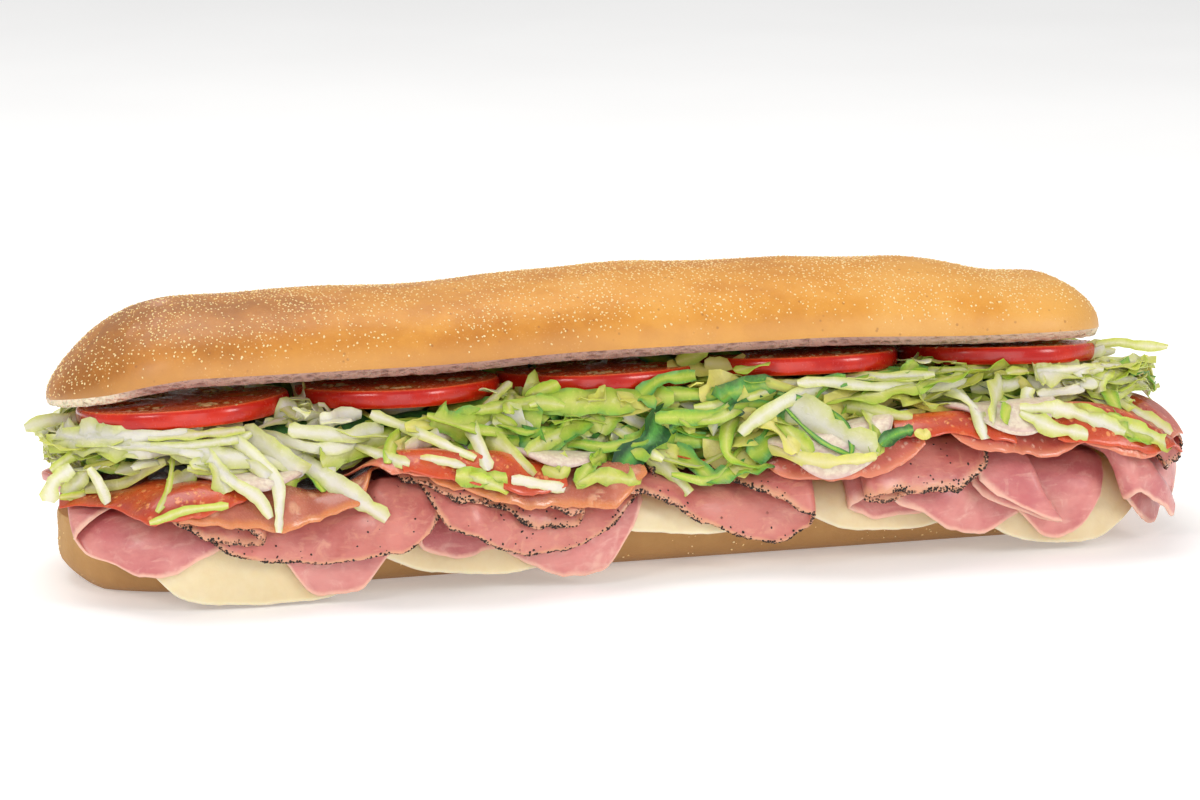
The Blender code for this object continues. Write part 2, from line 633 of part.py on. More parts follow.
def lettuce():
    """The heap: a core between slices and tomatoes with shreds fused to it."""
    rng = np.random.default_rng(11)
    heap = bpy.data.collections.new("lettuce_shreds")
    bpy.context.scene.collection.children.link(heap)
    rings = []
    for x in np.arange(-143.0, 148.0, 10.0):
        shrink = 1.0
        if x < SEG_LEFT:
            shrink = math.sqrt(max(0.03, 1 - ((SEG_LEFT - x) / 30.0) ** 2))
        if x > SEG_RIGHT:
            shrink = math.sqrt(max(0.03, 1 - ((x - SEG_RIGHT) / 33.0) ** 2))
        low, top = [], []
        for y in (33.0, 11.0, -11.0, -31.0):
            yy = y * shrink + rng.uniform(-1, 1)
            base = 0.7 + max(floor_at(x + a, yy + b) for a in (-4.5, 0, 4.5) for b in (-3, 3))
            roof = tomato_underside(x, yy) - CUT_Z - 0.9 - rng.uniform(0, 0.8)
            low.append((x, yy, base))
            top.append((x, yy, max(roof, base + 1.0)))
        bulge = []
        for share, reach in ((0.72, -36.0), (0.3, -37.0)):
            for yy in (reach + rng.uniform(-2.0, 2.0), -35.0, -34.0, -33.0):
                yy *= shrink
                base = 1.0 + max(floor_at(x + a, yy + b) for a in (-4.5, 0, 4.5)
                                 for b in (-2, 0, 2))
                roof = tomato_underside(x, yy) - CUT_Z - 2.0
                if roof > base + 2.0:
                    break
            roof = max(roof, base + 1.0)
            bulge.append((x, yy, base + (roof - base) * (share + rng.uniform(-0.15, 0.15))))
        ring = top + bulge + low[::-1]
        rings.append([tuple(world(*p)) for p in ring])
    core = loft("lettuce", rings)
    for number in range(SHREDS):
        shred = one_shred(rng, number)
        if shred is None:
            continue
        for c in shred.users_collection:
            c.objects.unlink(shred)
        heap.objects.link(shred)
    mod = core.modifiers.new("heap", "BOOLEAN")
    mod.operation = "UNION"
    mod.operand_type = "COLLECTION"
    mod.collection = heap
    mod.solver = "MANIFOLD"
    deps = bpy.context.evaluated_depsgraph_get()
    deps.update()
    fused = bpy.data.meshes.new_from_object(core.evaluated_get(deps))
    core.modifiers.clear()
    core.data = fused
    for obj in list(heap.objects):
        bpy.data.objects.remove(obj)
    bpy.data.collections.remove(heap)
    tidy(core)
    return core


SHREDS = 46


def one_shred(rng, number):
    """A thin tapering strip that starts in the core and leans out of it."""
    side = -1.0 if number % 4 else 1.0
    x = -138 + 290 * ((number * 0.618034) % 1.0)
    length = rng.uniform(18, 30)
    head = rng.uniform(-1.1, 1.1)
    wide = rng.uniform(3.0, 5.0)
    thick = rng.uniform(0.9, 1.3)
    twist = rng.uniform(-0.5, 0.5)
    level = rng.uniform(0.12, 0.9)
    droop = rng.uniform(0.2, 0.7)
    pieces = 3
    points = []
    y0 = side * rng.uniform(24, 30)
    for i in range(pieces + 1):
        u = i / pieces
        px = x + math.sin(head + 0.5 * u) * length * u
        py = y0 + side * math.cos(head) * length * u
        py = max(min(py, 42.0), -45.0)
        beyond = max(0.0, abs(py) - 34.0)
        base = 1.3 + max(floor_at(px + a, py + b) for a in (-5, 0, 5) for b in (-6, 0, 6))
        base += 0.3 * max(0.0, abs(py) - 40.0)
        roof = tomato_underside(px, max(min(py, 30.0), -38.0)) - CUT_Z - 0.6
        half = wide * 0.5 * math.sin(abs(twist) * 1.4) + thick / 2 + 0.7
        room = roof - base - 2 * half
        if room < 0.2:
            return None
        share = level * (1 - droop * u) if beyond > 0 else level
        h = base + half + share * room
        points.append((px, py, h))
    pts = np.array(points)
    mid = world(pts[:, 0], pts[:, 1], pts[:, 2])
    run = np.gradient(mid, axis=0)
    run /= np.linalg.norm(run, axis=1, keepdims=True)
    verts, faces = [], []
    for i in range(pieces + 1):
        side_v = np.cross(run[i], (0, 0, 1.0))
        side_v /= max(np.linalg.norm(side_v), 1e-6)
        up = np.cross(side_v, run[i])
        a = twist * (0.4 + i / pieces)
        across = side_v * math.cos(a) + up * math.sin(a)
        normal = np.cross(across, run[i])
        w = wide * (0.5 - 0.14 * (i / pieces))
        for p, q in ((-1, -1), (1, -1), (1, 1), (-1, 1)):
            verts.append(mid[i] + across * w * p + normal * thick * 0.5 * q)
    for i in range(pieces):
        for j in range(4):
            a, b = i * 4 + j, i * 4 + (j + 1) % 4
            faces += [(a, b, b + 4), (a, b + 4, a + 4)]
    end = pieces * 4
    faces += [(0, 2, 1), (0, 3, 2), (end, end + 1, end + 2), (end, end + 2, end + 3)]
    return solid_object(f"shred_{number}", [Vector(v) * MM for v in verts], faces)


def tidy(obj):
    """Weld close points, drop slivers and keep the largest body."""
    bm = bmesh.new()
    bm.from_mesh(obj.data)
    bmesh.ops.dissolve_degenerate(bm, edges=bm.edges, dist=0.001 * MM)
    bmesh.ops.triangulate(bm, faces=bm.faces)
    seen, parts = set(), []
    for face in bm.faces:
        if face in seen:
            continue
        group, queue = [], [face]
        seen.add(face)
        while queue:
            f = queue.pop()
            group.append(f)
            for e in f.edges:
                for g in e.link_faces:
                    if g not in seen:
                        seen.add(g)
                        queue.append(g)
        parts.append(group)
    parts.sort(key=len, reverse=True)
    loose = [f for group in parts[1:] for f in group]
    bmesh.ops.delete(bm, geom=loose, context="FACES")
    bmesh.ops.delete(bm, geom=[v for v in bm.verts if not v.link_faces], context="VERTS")
    bmesh.ops.recalc_face_normals(bm, faces=bm.faces)
    bm.to_mesh(obj.data)
    bm.free()


def slice_stack():
    for name, slot, thick, slack, legs in SLICES:
        back_drop = 1.5 + 2.0 * abs(math.sin(len(name) * 2.3 + legs[0][0]))
        cx, ch, rims = lay(name, thick, slack, legs, back_drop)
        fronts, backs = limits(cx, ch, rims, back_drop)
        mid = (cx[:, MIDDLE].min() + cx[:, MIDDLE].max()) / 2
        rows = ALL_ROWS if abs(mid) > 70 else FEW_ROWS
        paint(slab(name, cx, ch, fronts, backs, thick, rows), slot)


def onion_slices():
    for number, (cx, cy, radius, rim_z) in enumerate(ONIONS, 1):
        under = resting(floor)
        columns = [cx - radius + 0.4] + [x for x in XS if abs(x - cx) < radius - 1.9]
        columns += [cx + radius - 0.4]
        px = np.array([[x] * len(YS) for x in columns])
        ph = np.array([levelled([x] * len(YS), np.array([
            max(np.interp(x + a, XS, under[:, k]) for a in near_line(x))
            + GAP + ONION_T / 2 * PRESSED[k]
            for k in range(len(YS))])) for x in columns])
        fronts, backs = [], []
        for x, h in zip(px, ph):
            z = world(x, YS, h)[:, 2]
            half = math.sqrt(max(radius ** 2 - (x[0] - cx) ** 2, 4.0))
            kf = float(np.interp(half - cy, -YS, np.arange(len(YS))))
            for k in range(FRONT, len(YS) - 1):
                if z[k] >= rim_z > z[k + 1]:
                    kf = min(kf, k + (z[k] - rim_z) / (z[k] - z[k + 1]))
                    break
            fronts.append(kf)
            backs.append(float(np.interp(-(cy + half), -YS, np.arange(len(YS)))))
        name = f"onion_{number}"
        paint(slab(name, px, ph, fronts, backs, ONION_T, ALL_ROWS), "onion")
        cover(px, ph + ONION_T / 2 * PRESSED, fronts, backs)


for old in list(bpy.data.objects):
    bpy.data.objects.remove(old)
kit = bpy.data.collections.new("submarine_sandwich")
bpy.context.scene.collection.children.link(kit)
paint(bottom_bun(), "crust")
slice_stack()
onion_slices()
paint(lettuce(), "lettuce")
for i, row in enumerate(TOMATOES, 1):
    paint(tomato(i, row), "tomato")
paint(top_bun(), "crust")
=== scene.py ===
"""Looks of the submarine sandwich: bread, cold cuts, cheese, onion, lettuce, tomato.

The slices are laid again by the same rules as the solids, on the same working
lattice, and then drawn as smooth sheets with round rims. Lengths are in
millimetres until a mesh is made.
"""
import math

import bmesh
import bpy
import numpy as np
from mathutils import Matrix, Vector, noise
from mathutils.bvhtree import BVHTree

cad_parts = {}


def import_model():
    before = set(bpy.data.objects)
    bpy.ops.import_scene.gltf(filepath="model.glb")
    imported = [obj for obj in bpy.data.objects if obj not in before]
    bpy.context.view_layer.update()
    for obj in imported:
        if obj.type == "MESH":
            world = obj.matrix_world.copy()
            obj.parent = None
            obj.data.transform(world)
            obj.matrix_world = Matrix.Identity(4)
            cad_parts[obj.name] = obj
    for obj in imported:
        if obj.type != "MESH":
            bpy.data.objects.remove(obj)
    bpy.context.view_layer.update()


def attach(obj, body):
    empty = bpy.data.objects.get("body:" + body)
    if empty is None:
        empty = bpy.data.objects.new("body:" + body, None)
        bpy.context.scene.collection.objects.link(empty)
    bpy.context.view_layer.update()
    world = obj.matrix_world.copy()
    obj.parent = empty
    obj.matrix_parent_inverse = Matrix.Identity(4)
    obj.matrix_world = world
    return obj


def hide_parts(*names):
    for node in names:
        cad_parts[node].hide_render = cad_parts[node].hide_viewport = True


MM = 0.001
TINY = 1e-9              # keeps a division away from zero

# driving dimensions in millimetres
CUT_Z = 22.0             # height of the bottom half's cut face
HALF = 36.0              # half the width of the bun
SEG_LEFT = -116.0        # centres of the filling's round ends
SEG_RIGHT = 124.0
BEND = 10.2              # length of the bend over the bun's edge
HANG = math.radians(85)  # steepest hang, of the lowest layer
TILT = math.radians(9.0)  # the top half leans back
BUN_END = 152.5          # how far the upper half reaches from the middle
CRUMB = 2.4              # crumb showing below the upper crust
GAP = 0.28               # air between two layers
STEP = 10.0              # spacing of the working lattice along the bun
SLOPE = 0.50             # steepest climb of a slice along the bun
FALL = 0.20              # steepest fall of a slice towards its rim

# hang angle of the layers by their height over the cut, degrees
ANGLE_H = np.array([0.0, 3.0, 6.0, 10.0, 14.0, 18.0, 24.0, 32.0])
ANGLE_A = np.radians([85.0, 82.0, 76.0, 66.0, 54.0, 38.0, 20.0, 8.0])

# height over the table of the upper crust's lower edge on the served side
EDGE_X = [-153, -142, -130, -118, -60, -7, 50, 109, 143, 153]
EDGE_Z = [56.4, 57.6, 60.0, 61.3, 61.2, 62.7, 62.7, 60.6, 60.4, 60.6]
# height of the upper half's crown over its cut
DOME_X = [-152.5, -151, -148, -142.5, -137, -125, -111, -51, 3, 48, 91, 101,
          108, 114, 122, 134, 140, 147, 151, 152.5]
DOME_H = [2.0, 5.0, 9.0, 14.2, 17.8, 20.8, 21.8, 21.8, 22.4, 22.4, 21.8, 20.8,
          19.6, 18.3, 17.4, 16.8, 14.6, 9.8, 5.5, 2.6]

# tomato slices: centre x, front underside z, radius, lean back and roll in degrees
TOMATOES = [
    (-117.5, 48.5, 29.0, 5.8, 2.6),
    (-58.0, 50.2, 28.6, 5.4, 0.4),
    (-0.6, 50.9, 27.8, 6.2, 0.2),
    (58.5, 52.6, 29.2, 7.3, -0.2),
    (119.0, 51.9, 29.0, 8.4, -1.6),
]
TOMATO_Y = -8.5
TOMATO_T = 4.9

# slices from the lowest up: name, material, thickness, slack at the rim and
# legs. A leg is x at its start and end, how far each end drifts along the bun
# per millimetre of overhang, how far its start stands off the leg before it,
# and its rim as (x, height over the table).
SLICES = [
    ("cheese_1", "cheese", 1.4, 0.4, [
        (-141, -70, 0, 0, 0, [(-141, 16), (-138, 11), (-132, 5), (-124, 2.2),
                              (-108, 1.0), (-90, 1.0), (-80, 4), (-70, 12)])]),
    ("cheese_2", "cheese", 1.4, 0.4, [
        (-78, -8, 0, 0, 0, [(-78, 16), (-68, 10), (-58, 6.5), (-43, 4.6),
                            (-30, 5.2), (-20, 9), (-8, 18)])]),
    ("cheese_3", "cheese", 1.4, 0.4, [
        (-16, 52, 0, 0, 0, [(-16, 19), (-6, 15.5), (6, 12.8), (20, 11.7),
                            (32, 12), (42, 14), (52, 18)])]),
    ("cheese_4", "cheese", 1.4, 0.4, [
        (44, 112, 0, 0, 0, [(44, 19), (52, 14), (60, 10.8), (68, 9.3),
                            (80, 9.2), (92, 11), (102, 14), (112, 18)])]),
    ("cheese_5", "cheese", 1.4, 0.4, [
        (94, 158, 0, 0, 0, [(94, 17), (102, 9), (112, 4), (126, 2.0),
                            (138, 2.0), (148, 5), (158, 14)])]),
    ("ham_1", "ham", 1.05, 0.5, [
        (-108, -150, 0, 0, 0, [(-108, 22), (-116, 17), (-124, 12.5),
                               (-132, 10), (-140, 10.5), (-150, 15)]),
        (-150, -118, 0, 0, 4.5, [(-150, 17), (-142, 23.5), (-132, 25),
                                 (-118, 26)])]),
    ("ham_2", "ham", 1.05, 0.6, [
        (-104, -60, 0, 0, 0, [(-104, 20), (-97, 10), (-90, 3.2), (-84, 1.0),
                              (-78, 4), (-71, 12), (-65, 19), (-60, 25)])]),
    ("ham_3", "ham", 1.05, 0.8, [
        (2, -63, 0, 0, 0, [(2, 22), (-4, 12), (-9, 5.0), (-15, 2.8), (-24, 3.6),
                           (-33, 8), (-42, 13.5), (-48, 10.5), (-55, 8.6),
                           (-60, 14), (-63, 20)]),
        (-63, -34, 0, 0, 6.0, [(-63, 21), (-60, 26.5), (-54, 28), (-44, 27),
                               (-34, 26)])]),
    ("ham_4", "ham", 1.05, 0.5, [
        (90, 60, 0, 0, 0, [(90, 18), (84, 14.4), (76, 12.6), (67, 13.5),
                           (60, 17)]),
        (60, 84, 0, 0, 3.0, [(60, 18), (65, 20), (74, 19.5), (84, 19)])]),
    ("ham_5", "ham", 1.05, 0.5, [
        (64, 122, 0, 0, 0, [(64, 24), (74, 18.5), (82, 14), (90, 9.6),
                            (97, 6.4), (105, 8.8), (112, 13.5), (122, 20)])]),
    ("ham_6", "ham", 1.05, 0.8, [
        (102, 138, 0, 0, 0, [(102, 22), (110, 13), (117, 6.5), (123, 3.2),
                             (127, 2.6), (131, 9), (134, 15.5), (138, 24)])]),
    ("ham_7", "ham", 1.05, 0.6, [
        (94, 108, 0.2, 0.72, 0, [(94, 23), (97, 19), (104, 14), (110, 10),
                                 (117, 5.5), (124, 3.2)]),
        (108, 95, 0.72, 0.2, 2.0, [(124, 3.0), (117, 5.0), (110, 11),
                                   (104, 16), (97, 22)])]),
    ("ham_8", "ham", 1.05, 0.5, [
        (166, 129, 0, 0.95, 0, [(129, 18), (140, 12), (150, 7), (160, 4.0),
                                (166, 8)]),
        (129, 164, 0.95, 0, 2.6, [(129, 20), (140, 16), (150, 11), (160, 7.0),
                                  (164, 13)])]),
    ("pepper_ham_1", "pepper_ham", 1.05, 0.4, [
        (-56, -127, 0, 0, 0, [(-56, 26), (-62, 19), (-70, 15), (-87, 12),
                              (-96, 12.4), (-105, 13.6), (-114, 16),
                              (-121, 20.5), (-127, 26)]),
        (-127, -105, 0, 0, 0.4, [(-127, 26), (-120, 21), (-112, 17.5),
                                 (-105, 19)]),
        (-105, -124, 0, 0, 2.6, [(-105, 20), (-112, 24), (-124, 26)])]),
    ("pepper_ham_2", "pepper_ham", 1.05, 0.5, [
        (5, -67, 0, 0, 0, [(5, 27), (-3, 21), (-11, 15), (-23, 10.2),
                           (-32, 10.5), (-41, 13.8), (-51, 19), (-59, 26),
                           (-67, 33)]),
        (-67, -17, 0, 0, 0.6, [(-67, 33), (-58, 30), (-48, 26.5), (-38, 22.5),
                               (-31, 19), (-23, 16.5), (-17, 18)]),
        (-17, -46, 0, 0, 3.4, [(-17, 20.5), (-22, 23.5), (-32, 25.5),
                               (-46, 28)])]),
    ("pepper_ham_3", "pepper_ham", 1.05, 0.6, [
        (-4, 49, 0, 0, 0, [(-4, 26), (6, 22.5), (14, 18.5), (22, 14),
                           (29, 10.8), (37, 8.6), (44, 9.6), (49, 14)]),
        (49, 4, 0, 0, 3.2, [(49, 16), (44, 20), (36, 22.8), (24, 26),
                            (4, 30)])]),
    ("pepper_ham_4", "pepper_ham", 1.05, 0.4, [
        (86, 62, 0, 0, 0, [(86, 23), (74, 20.5), (66, 18.8), (62, 20)]),
        (62, 99, 0, 0, 4.2, [(62, 21.5), (68, 24), (76, 22.4), (86, 21.2),
                             (94, 24), (99, 28)]),
        (99, 66, 0, 0, 5.0, [(99, 31), (95, 35), (88, 37), (80, 35.5),
                             (66, 31)])]),
    ("pepper_ham_5", "pepper_ham", 1.05, 0.3, [
        (146, 159, 0, 0, 0, [(146, 24), (153, 22), (159, 22)]),
        (159, 122, 0, 0, 2.2, [(159, 26), (155, 27), (146, 29.5), (134, 32),
                               (122, 34)])]),
    ("capicola_1", "capicola", 1.0, 0.3, [
        (-126, -68, 0, 0, 0, [(-126, 27), (-118, 24.6), (-108, 23),
                              (-94, 22.8), (-84, 25.4), (-76, 30),
                              (-68, 36)])]),
    ("capicola_2", "capicola", 1.0, 0.3, [
        (-64, 2, 0, 0, 0, [(-64, 36), (-56, 32), (-46, 28), (-36, 25.4),
                           (-24, 23.6), (-10, 23.4), (-3, 26), (2, 31)])]),
    ("salami_1", "salami", 0.8, 0.2, [
        (-84, -40, 0, 0, 0, [(-84, 36), (-74, 35.5), (-62, 35), (-50, 33),
                             (-40, 32)])]),
    ("salami_2", "salami", 0.8, 0.2, [
        (4, 80, 0, 0, 0, [(4, 34), (14, 31.5), (24, 29.4), (36, 27.3),
                          (46, 26.6), (60, 27.2), (72, 30), (80, 34)])]),
    ("salami_3", "salami", 0.8, 0.2, [
        (80, 128, 0, 0, 0, [(80, 38), (90, 35), (98, 32.4), (107, 30),
                            (116, 29), (123, 30.4), (128, 33)])]),
    ("salami_4", "salami", 0.8, 0.2, [
        (122, 157, 0, 0, 0, [(122, 33), (136, 30), (150, 28), (157, 28)])]),
    ("pepperoni_1", "pepperoni", 0.8, 0.2, [
        (-151, -100, 0, 0, 0, [(-151, 25), (-146, 24.5), (-136, 25.5),
                               (-124, 27.5), (-112, 30), (-100, 33)])]),
    ("pepperoni_2", "pepperoni", 0.8, 0.2, [
        (-68, -22, 0, 0, 0, [(-68, 36), (-56, 34), (-44, 31), (-36, 28.6),
                             (-28, 28), (-22, 29)])]),
    ("pepperoni_3", "pepperoni", 0.8, 0.2, [
        (10, 48, 0, 0, 0, [(10, 35), (20, 33.5), (36, 33), (48, 34)])]),
    ("pepperoni_4", "pepperoni", 0.8, 0.2, [
        (72, 106, 0, 0, 0, [(72, 37), (84, 37), (96, 36), (106, 34)])]),
    ("pepperoni_5", "pepperoni", 0.8, 0.2, [
        (118, 150, 0, 0, 0, [(118, 34), (130, 32.5), (144, 30), (150, 29)])]),
]

# onion slices: centre x and y, radius, rim height on the served side
ONIONS = [
    (-105.0, -27.0, 21.0, 33.0),
    (-22.0, -28.0, 20.0, 33.5),
    (56.0, -29.0, 22.0, 27.2),
    (106.0, -26.0, 22.0, 35.0),
]
ONION_T = 2.0

